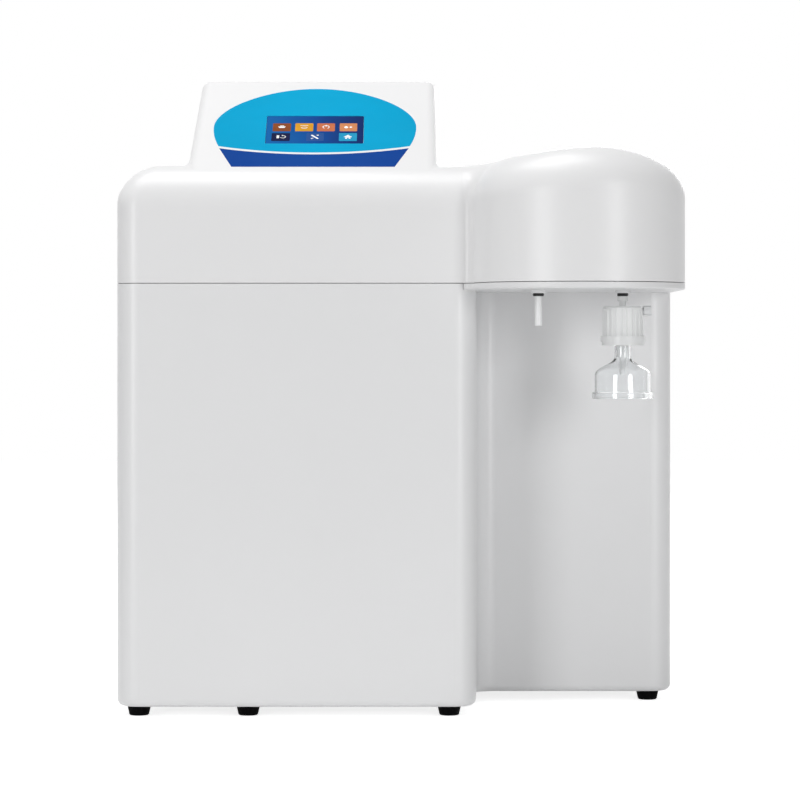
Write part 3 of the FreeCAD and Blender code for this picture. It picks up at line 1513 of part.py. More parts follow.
# ---------------------------------------------------------------- inside: canisters
def canister_places():
    """Name of each canister with its place and radius: two rows of three."""
    columns = [first_column_x + k * column_pitch for k in range(3)]
    return {
        "sediment_filter": (columns[0], row_front_y, filter_radius),
        "carbon_filter": (columns[1], row_front_y, filter_radius),
        "membrane_housing": (columns[2], row_front_y, membrane_radius),
        "polishing_pack_first": (columns[0], row_rear_y, pack_radius),
        "polishing_pack_second": (columns[1], row_rear_y, pack_radius),
        "uv_chamber": (columns[2], row_rear_y, uv_radius),
    }


def base_plate():
    """Steel plate on the cabinet's floor that everything inside stands on."""
    return Part.Face(cabinet_outline(floor_z, cabinet_wall + fit_gap)).extrude(vec(0, 0, plate_thickness))


def post_places():
    """The posts stand in the corners between the canisters, near the plate's edges."""
    inset = cradle_margin + post_in
    middle_y = (row_front_y + row_rear_y) / 2.0
    places = []
    for k in (0.5, 1.5):
        x = first_column_x + k * column_pitch
        places += [(x, rack_front_y + inset), (x, rack_rear_y - inset)]
    places += [(rack_left_x + inset, middle_y), (rack_right_x - inset, middle_y)]
    return places


def rack_plate(z0, z1):
    """The plan shared by the cradle and the support plate."""
    return rounded_block(rack_left_x, rack_right_x, rack_front_y, rack_rear_y, z0, z1, rack_corner)


def cartridge_cradle():
    """Moulded tray with a round pocket for the foot of each canister."""
    cradle = rack_plate(plate_z, plate_z + cradle_height)
    for x, y, radius in canister_places().values():
        cradle = cradle.cut(rod(radius + seat_gap, vec(x, y, canister_foot_z), vec(x, y, seam_z)))
    for x, y in post_places():
        cradle = cradle.cut(rod(post_radius + seat_gap, vec(x, y, 0), vec(x, y, seam_z)))
    return cradle


def support_plate():
    """Steel plate that steadies the canisters below their heads."""
    plate = rack_plate(support_z, support_z + plate_thickness)
    for x, y, radius in canister_places().values():
        plate = plate.cut(rod(radius + 2.0 * seat_gap, vec(x, y, plate_z), vec(x, y, seam_z)))
    for x, y in post_places():
        plate = plate.cut(rod(screw_hole, vec(x, y, plate_z), vec(x, y, seam_z)))
    return plate


def support_posts():
    """Pillars of the support plate, each with the head that holds the plate down."""
    posts = []
    for x, y in post_places():
        post = rod(post_radius, vec(x, y, plate_z), vec(x, y, support_z))
        head = pan_screw(vec(x, y, support_z + plate_thickness), vec(0, 0, 1), post_thread)
        posts.append(post.fuse(head).removeSplitter())
    return Part.Compound(posts)


def canister(name):
    """Closed canister with a domed foot, a waist band and a sloping shoulder."""
    x, y, radius = canister_places()[name]
    low = canister_foot_z
    high = canister_top_z
    band = low + band_share * canister_height
    waist = radius - band_depth
    profile = [(0, low), (0.60 * radius, low), (0.86 * radius, low + 0.20 * foot_curve),
               (0.97 * radius, low + 0.55 * foot_curve), (radius, low + foot_curve),
               (radius, band), (waist, band + band_depth), (waist, band + band_height - band_depth),
               (radius, band + band_height), (radius, high - shoulder_height),
               (0.97 * radius, high - 0.60 * shoulder_height),
               (0.84 * radius, high - 0.20 * shoulder_height), (head_share * radius, high), (0, high)]
    return turned(profile, x, y)


def uv_chamber():
    """Steel tube of the lamp, closed by a flange at each end."""
    x, y, radius = canister_places()["uv_chamber"]
    low = canister_foot_z
    high = canister_top_z
    tube = radius - uv_flange_step
    profile = [(0, low), (radius, low), (radius, low + uv_flange), (tube, low + uv_flange),
               (tube, high - uv_top_flange), (radius, high - uv_top_flange), (radius, high), (0, high)]
    return turned(profile, x, y)


def canister_heads():
    """Heads with two upright tube stubs each."""
    heads = []
    low = canister_top_z
    for x, y, radius in canister_places().values():
        wide = max(head_share * radius, stub_spread + stub_radius)
        top = low + head_height
        cap = turned([(0, low), (wide, low), (wide, top - head_chamfer), (wide - head_chamfer, top),
                      (0, top)], x, y)
        for side in (-1.0, 1.0):
            start = vec(x + side * stub_spread, y, top - head_chamfer)
            cap = cap.fuse(rod(stub_radius, start, vec(start.x, y, stub_top_z)))
        heads.append(cap.removeSplitter())
    return Part.Compound(heads)


def polished_run():
    """The straight run of the polished water, from above the lamp to above the final valve."""
    x, y, radius = canister_places()["uv_chamber"]
    z = stem_top_z + polished_rise
    tap_x = valve_places()[1][0] - valve_half_x - valve_port_reach
    return vec(x + stub_spread, y, z), vec(tap_x - tap_turn, outlet_y + tap_approach, z)


def cell_ends():
    start, end = polished_run()
    along = (end - start).normalize()
    middle = (start + end) * 0.5
    return middle - along * (cell_length / 2.0), middle + along * (cell_length / 2.0)


def resistivity_cell():
    """Measuring cell in the polished line, with its probe standing up."""
    start, end = cell_ends()
    narrow = cell_radius - cell_edge
    body = turned_about([(0, 0), (narrow, 0), (cell_radius, cell_edge),
                         (cell_radius, cell_length - cell_edge), (narrow, cell_length), (0, cell_length)],
                        start, end - start)
    middle = (start + end) * 0.5
    step_z = middle.z + probe_base_height
    neck = probe_radius - probe_neck
    top_z = middle.z + probe_height
    probe = turned([(0, middle.z), (probe_radius, middle.z), (probe_radius, step_z),
                    (neck, step_z), (neck, top_z), (0, top_z)], middle.x, middle.y)
    return body.fuse(probe).removeSplitter()


# ---------------------------------------------------------------- inside: pump, valves, tubes
def pump_motor():
    start = vec(pump_start_x, pump_y, pump_axis_z)
    neck_start = motor_length - motor_end_step
    neck = motor_radius - motor_neck
    profile = [(0, 0), (0.35 * motor_radius, 0), (0.8 * motor_radius, motor_neck),
               (motor_radius, motor_end_step), (motor_radius, neck_start), (neck, neck_start),
               (neck, motor_length), (0, motor_length)]
    return turned_about(profile, start, vec(1, 0, 0))


def pump_head():
    """Diaphragm head: a square block with rounded edges, an end cover and two stubs on top."""
    half = pump_head_height / 2.0
    front, back = pump_y - half, pump_y + half
    low, high = pump_axis_z - half, pump_axis_z + half
    corners = [vec(pump_head_x, front, low), vec(pump_head_x, back, low),
               vec(pump_head_x, back, high), vec(pump_head_x, front, high)]
    square = Part.Face(rounded_wire(corners, [pump_head_corner] * 4))
    cover_x = pump_end_x - pump_cover_length
    head = square.extrude(vec(cover_x - pump_head_x, 0, 0))
    head = head.fuse(rod(half - pump_cover_step, vec(cover_x, pump_y, pump_axis_z),
                         vec(pump_end_x, pump_y, pump_axis_z)))
    for x in pump_stub_places():
        head = head.fuse(rod(stub_radius, vec(x, pump_y, pump_axis_z), vec(x, pump_y, pump_stub_top_z)))
    return head.removeSplitter()


def pump_stub_places():
    middle_x = (pump_head_x + pump_end_x) / 2.0
    return [middle_x - pump_stub_spread, middle_x + pump_stub_spread]


def pump_bracket():
    """Tray under the pump with two saddles for the motor."""
    low = plate_z + mount_height
    top = low + plate_thickness
    tray = block(pump_start_x + pump_tray_start, pump_end_x - pump_tray_end, pump_y - pump_tray_side,
                 pump_y + pump_tray_side, low, top)
    for x in (pump_start_x + saddle_start, pump_head_x - saddle_end):
        tray = tray.fuse(block(x, x + saddle_length, pump_y - saddle_side, pump_y + saddle_side, top,
                               top + saddle_height))
    start = vec(pump_start_x - over, pump_y, pump_axis_z)
    motor_space = rod(motor_radius + saddle_play, start, vec(pump_head_x, pump_y, pump_axis_z))
    return tray.cut(motor_space).removeSplitter()


def pump_mounts():
    """Rubber buffers under the pump tray."""
    top = plate_z + mount_height
    profile = [(0, plate_z), (mount_radius, plate_z), (mount_radius - mount_waist, (plate_z + top) / 2.0),
               (mount_radius, top), (0, top)]
    buffers = []
    for x in (pump_start_x + mount_end, pump_end_x - mount_end):
        for y in (pump_y - mount_side, pump_y + mount_side):
            buffers.append(turned(profile, x, y))
    return Part.Compound(buffers)


def valve_places():
    """Foot of each solenoid valve: one drains the membrane, the other opens the final outlet."""
    return [(flush_valve_x, riser_y, plate_z), (right_outlet_x, outlet_y, stem_top_z)]


def valve_bodies():
    bodies = []
    for x, y, z in valve_places():
        body = rounded_block(x - valve_half_x, x + valve_half_x, y - valve_half_y, y + valve_half_y, z,
                             z + valve_body_height, valve_corner)
        reach = vec(valve_half_x + valve_port_reach, 0, 0)
        middle = vec(x, y, z + valve_port_z)
        body = body.fuse(rod(valve_port_radius, middle - reach, middle + reach))
        bodies.append(body.removeSplitter())
    return Part.Compound(bodies)


def valve_coils():
    coils = []
    for x, y, z in valve_places():
        low = z + valve_body_height
        high = low + coil_height
        coil = rounded_block(x - coil_half_x, x + coil_half_x, y - coil_half_y, y + coil_half_y, low,
                             high, coil_corner)
        coil = coil.fuse(rod(coil_nut_radius, vec(x, y, low), vec(x, y, high + coil_nut_height)))
        coils.append(coil.removeSplitter())
    return Part.Compound(coils)


def water_tubes():
    """The quarter-inch tubes, each from the mouth of one fitting to the next."""
    low = stub_top_z + low_tube_rise
    high = stub_top_z + high_tube_rise
    stubs = {}
    for name, (x, y, radius) in canister_places().items():
        stubs[name] = (vec(x - stub_spread, y, stub_top_z), vec(x + stub_spread, y, stub_top_z))
    pump_in, pump_out = [vec(x, pump_y, pump_stub_top_z) for x in pump_stub_places()]
    port_y = rear_y - port_inner_length + tube_insert
    flush_x, flush_y, flush_z = valve_places()[0]
    tap_x, tap_y, tap_z = valve_places()[1]

    def raised(point, z):
        return vec(point.x, point.y, z)

    def across(start, end, z):
        return [start, raised(start, z), raised(end, z), end]

    def from_port(x, z):
        return [vec(x, port_y, port_z), vec(x, riser_y, port_z), vec(x, riser_y, z)]

    side_x = first_column_x - side_line
    sediment_in = stubs["sediment_filter"][0]
    permeate = stubs["membrane_housing"][1]
    polished = stubs["uv_chamber"][1]
    left_stem = vec(left_outlet_x, outlet_y, stem_top_z)
    tap_in = vec(tap_x - valve_half_x - valve_port_reach, tap_y, tap_z + valve_port_z)
    flush_out = vec(flush_x - valve_half_x - valve_port_reach, flush_y, flush_z + valve_port_z)
    drain_x = flush_out.x - drain_side
    drain_z = port_z + drain_line_rise
    first_pack = stubs["polishing_pack_first"][0]
    final = polished_run()
    tap_near = tap_in - vec(tap_turn, 0, 0)
    routes = [
        across(stubs["sediment_filter"][1], stubs["carbon_filter"][0], low),
        across(stubs["carbon_filter"][1], pump_in, high),
        across(pump_out, stubs["membrane_housing"][0], high),
        across(stubs["polishing_pack_first"][1], stubs["polishing_pack_second"][0], low),
        across(stubs["polishing_pack_second"][1], stubs["uv_chamber"][0], low),
        across(permeate, left_stem, stem_top_z + permeate_rise),
        [polished, final[0], cell_ends()[0]],
        [cell_ends()[1], final[1], tap_near, tap_in],
        from_port(feed_port_x, low) + [vec(side_x, pump_y, low), vec(side_x, row_front_y + feed_turn, low),
                                       raised(sediment_in, low), sediment_in],
        from_port(tank_port_x, low) + [raised(first_pack, low), first_pack],
        from_port(drain_port_x, drain_z) + [vec(drain_x, riser_y, drain_z),
                                            vec(drain_x, flush_y, flush_out.z), flush_out],
    ]
    return Part.Compound([piped(route, tube_radius, tube_bend) for route in routes])


# ---------------------------------------------------------------- inside: electrics
def power_supply():
    """Vented metal case of the direct-current supply, with the terminal strip on its step."""
    x1 = supply_x0 + supply_width
    top = plate_z + supply_height
    case = rounded_block(supply_x0, x1, supply_y0, supply_y0 + supply_length, plate_z, top, supply_corner)
    slots = []
    for k in range(supply_slots):
        y = supply_y0 + supply_slot_start + k * supply_slot_pitch
        slots.append(block(supply_x0 + supply_slot_margin, x1 - supply_slot_margin, y,
                           y + supply_slot_width, top - supply_slot_depth, top + over))
    ledge = top - supply_step
    step = block(supply_x0 - over, x1 + over, supply_y0 - over, supply_y0 + supply_step_length, ledge,
                 top + over)
    strip_y = supply_y0 + strip_gap
    strip_top = ledge + strip_depth
    strip = block(supply_x0 + strip_margin, x1 - strip_margin, strip_y, strip_y + strip_depth, ledge,
                  strip_top)
    for k in range(terminals):
        low = vec(supply_x0 + terminal_start + k * terminal_pitch, strip_y + strip_depth / 2.0,
                  strip_top - terminal_depth)
        strip = strip.cut(rod(terminal_radius, low, low + vec(0, 0, terminal_depth + over)))
    return case.cut(Part.Compound(slots)).cut(step).fuse(strip).removeSplitter()


def lamp_ballast():
    y1 = rear_y - cabinet_wall - ballast_rear_gap
    return rounded_block(ballast_x0, ballast_x0 + ballast_length, y1 - ballast_depth, y1, plate_z,
                         plate_z + ballast_height, ballast_corner)


def board_bracket():
    """Folded sheet on the base plate, with pillars pressed in that carry the control board."""
    y1 = bracket_y0 + bracket_length
    upright = block(bracket_x, bracket_x + plate_thickness, bracket_y0, y1, plate_z,
                    plate_z + bracket_height)
    flange = block(bracket_x - bracket_foot, bracket_x, bracket_y0, y1, plate_z,
                   plate_z + plate_thickness)
    pillars = [rod(pillar_radius, vec(board_x + board_thickness, y, z), vec(bracket_x, y, z))
               for y, z in board_fixings()]
    return fused([upright, flange] + pillars)


def board_fixings():
    """Corners where pillars hold the control board."""
    places = []
    for y in (board_y0 + control_corner, board_y0 + control_length - control_corner):
        for z in (control_z0 + control_corner, control_z0 + control_height - control_corner):
            places.append((y, z))
    return places


def control_board():
    """Circuit board with its relays, capacitors and terminal strips."""
    y1 = board_y0 + control_length
    items = [block(board_x, board_x + board_thickness, board_y0, y1, control_z0,
                   control_z0 + control_height)]
    relay_z = control_z0 + relay_low
    for k in range(relays):
        y = board_y0 + relay_start + k * relay_pitch
        items.append(block(board_x - relay_depth, board_x, y, y + relay_length, relay_z,
                           relay_z + relay_height))
    for k, radius in enumerate(capacitor_radii):
        y = board_y0 + capacitor_start + k * capacitor_pitch
        z = control_z0 + capacitor_rise
        items.append(rod(radius, vec(board_x - capacitor_depth - radius, y, z), vec(board_x, y, z)))
    clamp_x = board_x - clamp_depth
    for z in (control_z0 + clamp_low, control_z0 + control_height - clamp_high):
        strip = block(clamp_x, board_x, board_y0 + clamp_margin, y1 - clamp_margin, z, z + clamp_height)
        for k in range(clamps):
            y = board_y0 + clamp_start + k * clamp_pitch
            mouth = vec(clamp_x - over, y, z + clamp_height / 2.0)
            strip = strip.cut(rod(clamp_radius, mouth, mouth + vec(over + clamp_hole_depth, 0, 0)))
        items.append(strip)
    return fused(items)


# ---------------------------------------------------------------- the whole machine
def at_outlets(piece):
    return Part.Compound([piece(left_outlet_x), piece(right_outlet_x)])


def at_feet(piece):
    return Part.Compound([piece(x, y) for x, y in foot_points()])


def all_parts():
    parts = {
        "cabinet_shell": cabinet_shell(),
        "top_cover": top_cover(),
        "head_tray": head_tray(),
        "rear_panel": rear_panel(),
        "panel_screws": panel_screws(),
        "rubber_feet": at_feet(foot),
        "foot_screws": at_feet(foot_screw),
        "display_overlay": display_overlay(),
        "title_strip": title_strip(),
        "touch_screen": touch_screen(),
        "lcd_module": lcd_module(),
        "display_board": display_board(),
        "display_standoffs": display_standoffs(),
        "display_screws": display_screws(),
        "hinge_leaves_lower": hinge_leaves(-1.0),
        "hinge_leaves_upper": hinge_leaves(1.0),
        "hinge_pins": hinge_pins(),
        "hinge_screws_lower": leaf_screws(-1.0),
        "hinge_screws_upper": leaf_screws(1.0),
        "outlet_glands": at_outlets(outlet_gland),
        "gland_nuts": at_outlets(gland_nut),
        "outlet_washers": at_outlets(outlet_washer),
        "outlet_tube": outlet_tube(),
        "filter_capsule": filter_capsule(),
        "capsule_membrane": capsule_membrane(),
        "vent_cap": vent_cap(),
        "dispensing_bell": dispensing_bell(),
        "port_bodies": Part.Compound([port_body(x) for x in port_places()]),
        "port_nuts": Part.Compound([port_nut(x) for x in port_places()]),
        "feed_collet": port_collet(feed_port_x),
        "tank_collet": port_collet(tank_port_x),
        "drain_collet": port_collet(drain_port_x),
        "tank_level_socket": tank_socket(),
        "power_inlet": power_inlet(),
        "inlet_pins": inlet_pins(),
        "fuse_drawer": fuse_drawer(),
        "fuses": fuses(),
        "rocker_switch": rocker_switch(),
        "base_plate": base_plate(),
        "cartridge_cradle": cartridge_cradle(),
        "support_plate": support_plate(),
        "support_posts": support_posts(),
        "sediment_filter": canister("sediment_filter"),
        "carbon_filter": canister("carbon_filter"),
        "membrane_housing": canister("membrane_housing"),
        "polishing_packs": Part.Compound([canister("polishing_pack_first"),
                                          canister("polishing_pack_second")]),
        "uv_chamber": uv_chamber(),
        "canister_heads": canister_heads(),
        "resistivity_cell": resistivity_cell(),
        "pump_motor": pump_motor(),
        "pump_head": pump_head(),
        "pump_bracket": pump_bracket(),
        "pump_mounts": pump_mounts(),
        "valve_bodies": valve_bodies(),
        "valve_coils": valve_coils(),
        "water_tubes": water_tubes(),
        "power_supply": power_supply(),
        "lamp_ballast": lamp_ballast(),
        "board_bracket": board_bracket(),
        "control_board": control_board(),
    }
    return parts


def main():
    os.makedirs("parts", exist_ok=True)
    for name, shape in all_parts().items():
        shape.exportStep("parts/" + name + ".step")
        print(name, shape.isValid(), len(shape.Solids), round(shape.Volume))


main()
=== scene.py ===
import bpy
import bmesh
import math
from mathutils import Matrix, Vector
from mathutils.bvhtree import BVHTree


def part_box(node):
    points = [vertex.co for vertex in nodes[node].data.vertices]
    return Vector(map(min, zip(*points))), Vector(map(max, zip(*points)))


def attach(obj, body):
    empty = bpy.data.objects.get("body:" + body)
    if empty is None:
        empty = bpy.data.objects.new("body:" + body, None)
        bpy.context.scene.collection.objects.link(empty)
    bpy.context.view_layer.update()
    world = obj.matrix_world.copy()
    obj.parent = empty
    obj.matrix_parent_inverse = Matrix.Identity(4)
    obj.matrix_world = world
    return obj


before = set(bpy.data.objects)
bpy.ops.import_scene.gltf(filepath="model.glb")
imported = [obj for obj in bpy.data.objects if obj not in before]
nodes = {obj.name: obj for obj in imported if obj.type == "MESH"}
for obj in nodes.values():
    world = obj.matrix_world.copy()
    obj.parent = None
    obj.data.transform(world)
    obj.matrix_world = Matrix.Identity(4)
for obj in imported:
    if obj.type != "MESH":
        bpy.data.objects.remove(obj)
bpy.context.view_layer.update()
mm = 0.001  # one millimetre in metres
print("frame loaded,", len(nodes), "nodes")


# small helpers
def screenColour(red, green, blue):
    # a colour as it looks on a screen, 0 to 255, as linear values by the usual screen curve
    def linear(value):
        share = value / 255.0
        return share / 12.92 if share <= 0.04045 else ((share + 0.055) / 1.055) ** 2.4
    return (linear(red), linear(green), linear(blue), 1.0)


def addNode(tree, kind, **settings):
    node = tree.nodes.new(kind)
    for key, value in settings.items():
        setattr(node, key, value)
    return node


def join(tree, source, target):
    tree.links.new(source, target)


def feed(tree, value, target):
    # a fixed value is written into the socket, an output is joined to it
    if isinstance(value, (int, float, tuple)):
        target.default_value = value
    else:
        join(tree, value, target)


def feedAll(tree, node, values):
    for label, value in values.items():
        feed(tree, value, node.inputs[label])


def mapped(tree, value, low, high, newLow, newHigh):
    # value from low..high to newLow..newHigh, clamped
    node = addNode(tree, "ShaderNodeMapRange")
    feedAll(tree, node, {"Value": value, "From Min": low, "From Max": high,
                         "To Min": newLow, "To Max": newHigh})
    return node.outputs["Result"]


def calculate(tree, operation, first, second):
    node = addNode(tree, "ShaderNodeMath", operation=operation)
    feed(tree, first, node.inputs[0])
    feed(tree, second, node.inputs[1])
    return node.outputs[0]


def mixColours(tree, share, first, second):
    # in a colour mix the share is socket 0, the colours are 6 and 7 and the result is 2
    node = addNode(tree, "ShaderNodeMix", data_type="RGBA")
    for k, value in ((0, share), (6, first), (7, second)):
        feed(tree, value, node.inputs[k])
    return node.outputs[2]


def noise(tree, place, scale, detail, roughness=0.5):
    node = addNode(tree, "ShaderNodeTexNoise")
    feedAll(tree, node, {"Vector": place, "Scale": scale, "Detail": detail, "Roughness": roughness})
    return node.outputs["Fac"]


def ownPlace(tree):
    # the place on the piece itself, which moves along with it
    return addNode(tree, "ShaderNodeTexCoord").outputs["Object"]


def axesOf(tree, vector):
    node = addNode(tree, "ShaderNodeSeparateXYZ")
    join(tree, vector, node.inputs[0])
    return node.outputs


def dotProduct(tree):
    return addNode(tree, "ShaderNodeVectorMath", operation="DOT_PRODUCT")


def startGroup(name, inputs, outputs):
    # inputs by name and usual value, outputs by name and kind
    group = bpy.data.node_groups.new(name, "ShaderNodeTree")
    for label, value in inputs.items():
        kind = "NodeSocketColor" if isinstance(value, tuple) else "NodeSocketFloat"
        socket = group.interface.new_socket(name=label, in_out="INPUT", socket_type=kind)
        socket.default_value = value
    for label, kind in outputs.items():
        group.interface.new_socket(name=label, in_out="OUTPUT", socket_type=kind)
    return group, group.nodes.new("NodeGroupInput"), group.nodes.new("NodeGroupOutput")


# shared effects
plainGrey = (0.8, 0.8, 0.8, 1.0)
colourAndMask = {"Colour": "NodeSocketColor", "Mask": "NodeSocketFloat"}
roughnessAndHeight = {"Roughness": "NodeSocketFloat", "Height": "NodeSocketFloat"}

driftShape = {"detail": 3.0, "low": 0.3, "high": 0.7}


def buildToneDrift():
    # slow changes of tone over a surface
    group, start, end = startGroup(
        "toneDrift", {"Colour": plainGrey, "Scale": 6.0, "Amount": 0.05}, {"Colour": "NodeSocketColor"})
    place = ownPlace(group)
    wave = noise(group, place, start.outputs["Scale"], driftShape["detail"])
    darkest = calculate(group, "SUBTRACT", 1.0, start.outputs["Amount"])
    value = mapped(group, wave, driftShape["low"], driftShape["high"], darkest, 1.0)
    shade = addNode(group, "ShaderNodeHueSaturation")
    join(group, value, shade.inputs["Value"])
    join(group, start.outputs["Colour"], shade.inputs["Color"])
    join(group, shade.outputs["Color"], end.inputs["Colour"])
    return group


grainShape = {"detail": 1.0, "swellScale": 0.08, "grainShare": 0.5, "swellShare": 0.5,
              "smudgeDetail": 4.0, "smudgeRoughness": 0.6, "smudgeLow": 0.35, "smudgeHigh": 0.7}


def buildMouldGrain():
    # the fine skin of a moulded or printed surface, with smudges that change its gloss
    group, start, end = startGroup(
        "mouldGrain", {"Grain Scale": 900.0, "Smudge Scale": 14.0, "Roughness": 0.35, "Spread": 0.08},
        roughnessAndHeight)
    place = ownPlace(group)
    grain = noise(group, place, start.outputs["Grain Scale"], grainShape["detail"])
    swellScale = calculate(group, "MULTIPLY", start.outputs["Grain Scale"], grainShape["swellScale"])
    swell = noise(group, place, swellScale, grainShape["detail"])
    grainPart = calculate(group, "MULTIPLY", grain, grainShape["grainShare"])
    swellPart = calculate(group, "MULTIPLY", swell, grainShape["swellShare"])
    height = calculate(group, "ADD", grainPart, swellPart)
    smudge = noise(group, place, start.outputs["Smudge Scale"], grainShape["smudgeDetail"],
                   grainShape["smudgeRoughness"])
    dullest = calculate(group, "ADD", start.outputs["Roughness"], start.outputs["Spread"])
    rough = mapped(group, smudge, grainShape["smudgeLow"], grainShape["smudgeHigh"],
                   start.outputs["Roughness"], dullest)
    join(group, rough, end.inputs["Roughness"])
    join(group, height, end.inputs["Height"])
    return group


wearShape = {"samples": 4, "sharp": 0.70, "flat": 0.995,
             "breakScale": 260.0, "breakDetail": 3.0, "breakLow": 0.35, "breakHigh": 0.65}


def buildEdgeWear():
    # lighter or barer material along edges, broken up by noise
    group, start, end = startGroup(
        "edgeWear",
        {"Colour": plainGrey, "Worn Colour": (0.9, 0.9, 0.9, 1.0), "Radius": 0.0008, "Amount": 0.5},
        colourAndMask)
    bevel = addNode(group, "ShaderNodeBevel", samples=wearShape["samples"])
    join(group, start.outputs["Radius"], bevel.inputs["Radius"])
    surface = addNode(group, "ShaderNodeNewGeometry")
    turn = dotProduct(group)
    join(group, bevel.outputs["Normal"], turn.inputs[0])
    join(group, surface.outputs["Normal"], turn.inputs[1])
    edge = mapped(group, turn.outputs["Value"], wearShape["sharp"], wearShape["flat"], 1.0, 0.0)
    place = ownPlace(group)
    spots = noise(group, place, wearShape["breakScale"], wearShape["breakDetail"])
    broken = mapped(group, spots, wearShape["breakLow"], wearShape["breakHigh"], 0.0, 1.0)
    brokenEdge = calculate(group, "MULTIPLY", edge, broken)
    mask = calculate(group, "MULTIPLY", brokenEdge, start.outputs["Amount"])
    colour = mixColours(group, mask, start.outputs["Colour"], start.outputs["Worn Colour"])
    join(group, colour, end.inputs["Colour"])
    join(group, mask, end.inputs["Mask"])
    return group


dustShape = {"steepest": 0.55, "level": 1.0, "patchScale": 30.0, "patchDetail": 2.0,
             "patchLow": 0.30, "patchHigh": 0.75}


def buildDustFall():
    # a little dust where a surface looks up
    group, start, end = startGroup(
        "dustFall", {"Colour": plainGrey, "Dust Colour": (0.62, 0.60, 0.57, 1.0), "Amount": 0.1},
        colourAndMask)
    surface = addNode(group, "ShaderNodeNewGeometry")
    axes = axesOf(group, surface.outputs["Normal"])
    upward = mapped(group, axes["Z"], dustShape["steepest"], dustShape["level"], 0.0, 1.0)
    place = ownPlace(group)
    spots = noise(group, place, dustShape["patchScale"], dustShape["patchDetail"])
    patch = mapped(group, spots, dustShape["patchLow"], dustShape["patchHigh"], 0.0, 1.0)
    patchUpward = calculate(group, "MULTIPLY", upward, patch)
    mask = calculate(group, "MULTIPLY", patchUpward, start.outputs["Amount"])
    colour = mixColours(group, mask, start.outputs["Colour"], start.outputs["Dust Colour"])
    join(group, colour, end.inputs["Colour"])
    join(group, mask, end.inputs["Mask"])
    return group


brushShape = {"stretch": (1.0, 18.0, 18.0), "detail": 2.0, "low": 0.3, "high": 0.7}


def buildBrushLines():
    # the fine lines along X of rolled and brushed metal
    group, start, end = startGroup(
        "brushLines", {"Line Scale": 60.0, "Roughness": 0.3, "Spread": 0.15}, roughnessAndHeight)
    place = ownPlace(group)
    stretch = addNode(group, "ShaderNodeMapping")
    stretch.inputs["Scale"].default_value = brushShape["stretch"]
    join(group, place, stretch.inputs["Vector"])
    lines = noise(group, stretch.outputs["Vector"], start.outputs["Line Scale"], brushShape["detail"])
    dullest = calculate(group, "ADD", start.outputs["Roughness"], start.outputs["Spread"])
    rough = mapped(group, lines, brushShape["low"], brushShape["high"], start.outputs["Roughness"], dullest)
    join(group, rough, end.inputs["Roughness"])
    join(group, lines, end.inputs["Height"])
    return group


toneDrift = buildToneDrift()
mouldGrain = buildMouldGrain()
edgeWear = buildEdgeWear()
dustFall = buildDustFall()
brushLines = buildBrushLines()
print("shared effects ready")


# finishes: each takes one piece's dictionary
def placeGroup(tree, group, values):
    node = addNode(tree, "ShaderNodeGroup", node_tree=group)
    feedAll(tree, node, values)
    return node


def driftedColour(tree, colour, look):
    drift = placeGroup(tree, toneDrift, {"Colour": colour, "Scale": look["driftScale"],
                                         "Amount": look["drift"]})
    return drift.outputs["Colour"]


def wornColour(tree, colour, look):
    wear = placeGroup(tree, edgeWear, {"Colour": colour, "Worn Colour": look["worn"],
                                       "Radius": look["wearRadius"], "Amount": look["wear"]})
    return wear.outputs["Colour"]


def grainOf(tree, look):
    grain = placeGroup(tree, mouldGrain, {"Grain Scale": look["grainScale"], "Roughness": look["roughness"],
                                          "Smudge Scale": look["smudgeScale"], "Spread": look["spread"]})
    return grain.outputs


def startMaterial(name):
    material = bpy.data.materials.new(name)
    material.use_nodes = True
    tree = material.node_tree
    return material, tree, tree.nodes["Principled BSDF"]


def bumpFrom(tree, height, shader, look):
    bump = addNode(tree, "ShaderNodeBump")
    bump.inputs["Strength"].default_value = look["bump"]
    bump.inputs["Distance"].default_value = look["bumpDepth"]
    join(tree, height, bump.inputs["Height"])
    join(tree, bump.outputs["Normal"], shader.inputs["Normal"])


usualMoulding = {"driftScale": 6.0, "drift": 0.04, "dust": 0.06, "dustRoughness": 0.3,
                 "worn": (0.9, 0.9, 0.9, 1.0), "wearRadius": 0.0006, "wear": 0.25,
                 "grainScale": 900.0, "roughness": 0.4, "smudgeScale": 14.0, "spread": 0.08,
                 "bump": 0.15, "bumpDepth": 0.0002, "coat": 0.0, "coatRoughness": 0.1, "specular": 0.5,
                 "subsurface": 0.0, "subsurfaceReach": 0.004, "transmission": 0.0, "ior": 1.46}


def mouldedFinish(name, look):
    # plastic, rubber and paint: colour that drifts, dust, worn edges, grain
    look = dict(usualMoulding, **look)
    material, tree, shader = startMaterial(name)
    drifted = driftedColour(tree, look["colour"], look)
    dust = placeGroup(tree, dustFall, {"Colour": drifted, "Amount": look["dust"]})
    worn = wornColour(tree, dust.outputs["Colour"], look)
    join(tree, worn, shader.inputs["Base Color"])
    grain = grainOf(tree, look)
    dusty = calculate(tree, "MULTIPLY", dust.outputs["Mask"], look["dustRoughness"])
    rough = calculate(tree, "ADD", grain["Roughness"], dusty)
    join(tree, rough, shader.inputs["Roughness"])
    bumpFrom(tree, grain["Height"], shader, look)
    shader.inputs["Coat Weight"].default_value = look["coat"]
    shader.inputs["Coat Roughness"].default_value = look["coatRoughness"]
    shader.inputs["Specular IOR Level"].default_value = look["specular"]
    shader.inputs["Subsurface Weight"].default_value = look["subsurface"]
    shader.inputs["Subsurface Radius"].default_value = (look["subsurfaceReach"],) * 3
    shader.inputs["Transmission Weight"].default_value = look["transmission"]
    shader.inputs["IOR"].default_value = look["ior"]
    return material


usualMetal = {"driftScale": 30.0, "drift": 0.12, "worn": (0.85, 0.85, 0.86, 1.0), "wearRadius": 0.0004,
              "wear": 0.6, "lineScale": 60.0, "roughness": 0.28, "spread": 0.16, "bump": 0.12,
              "bumpDepth": 0.0001}


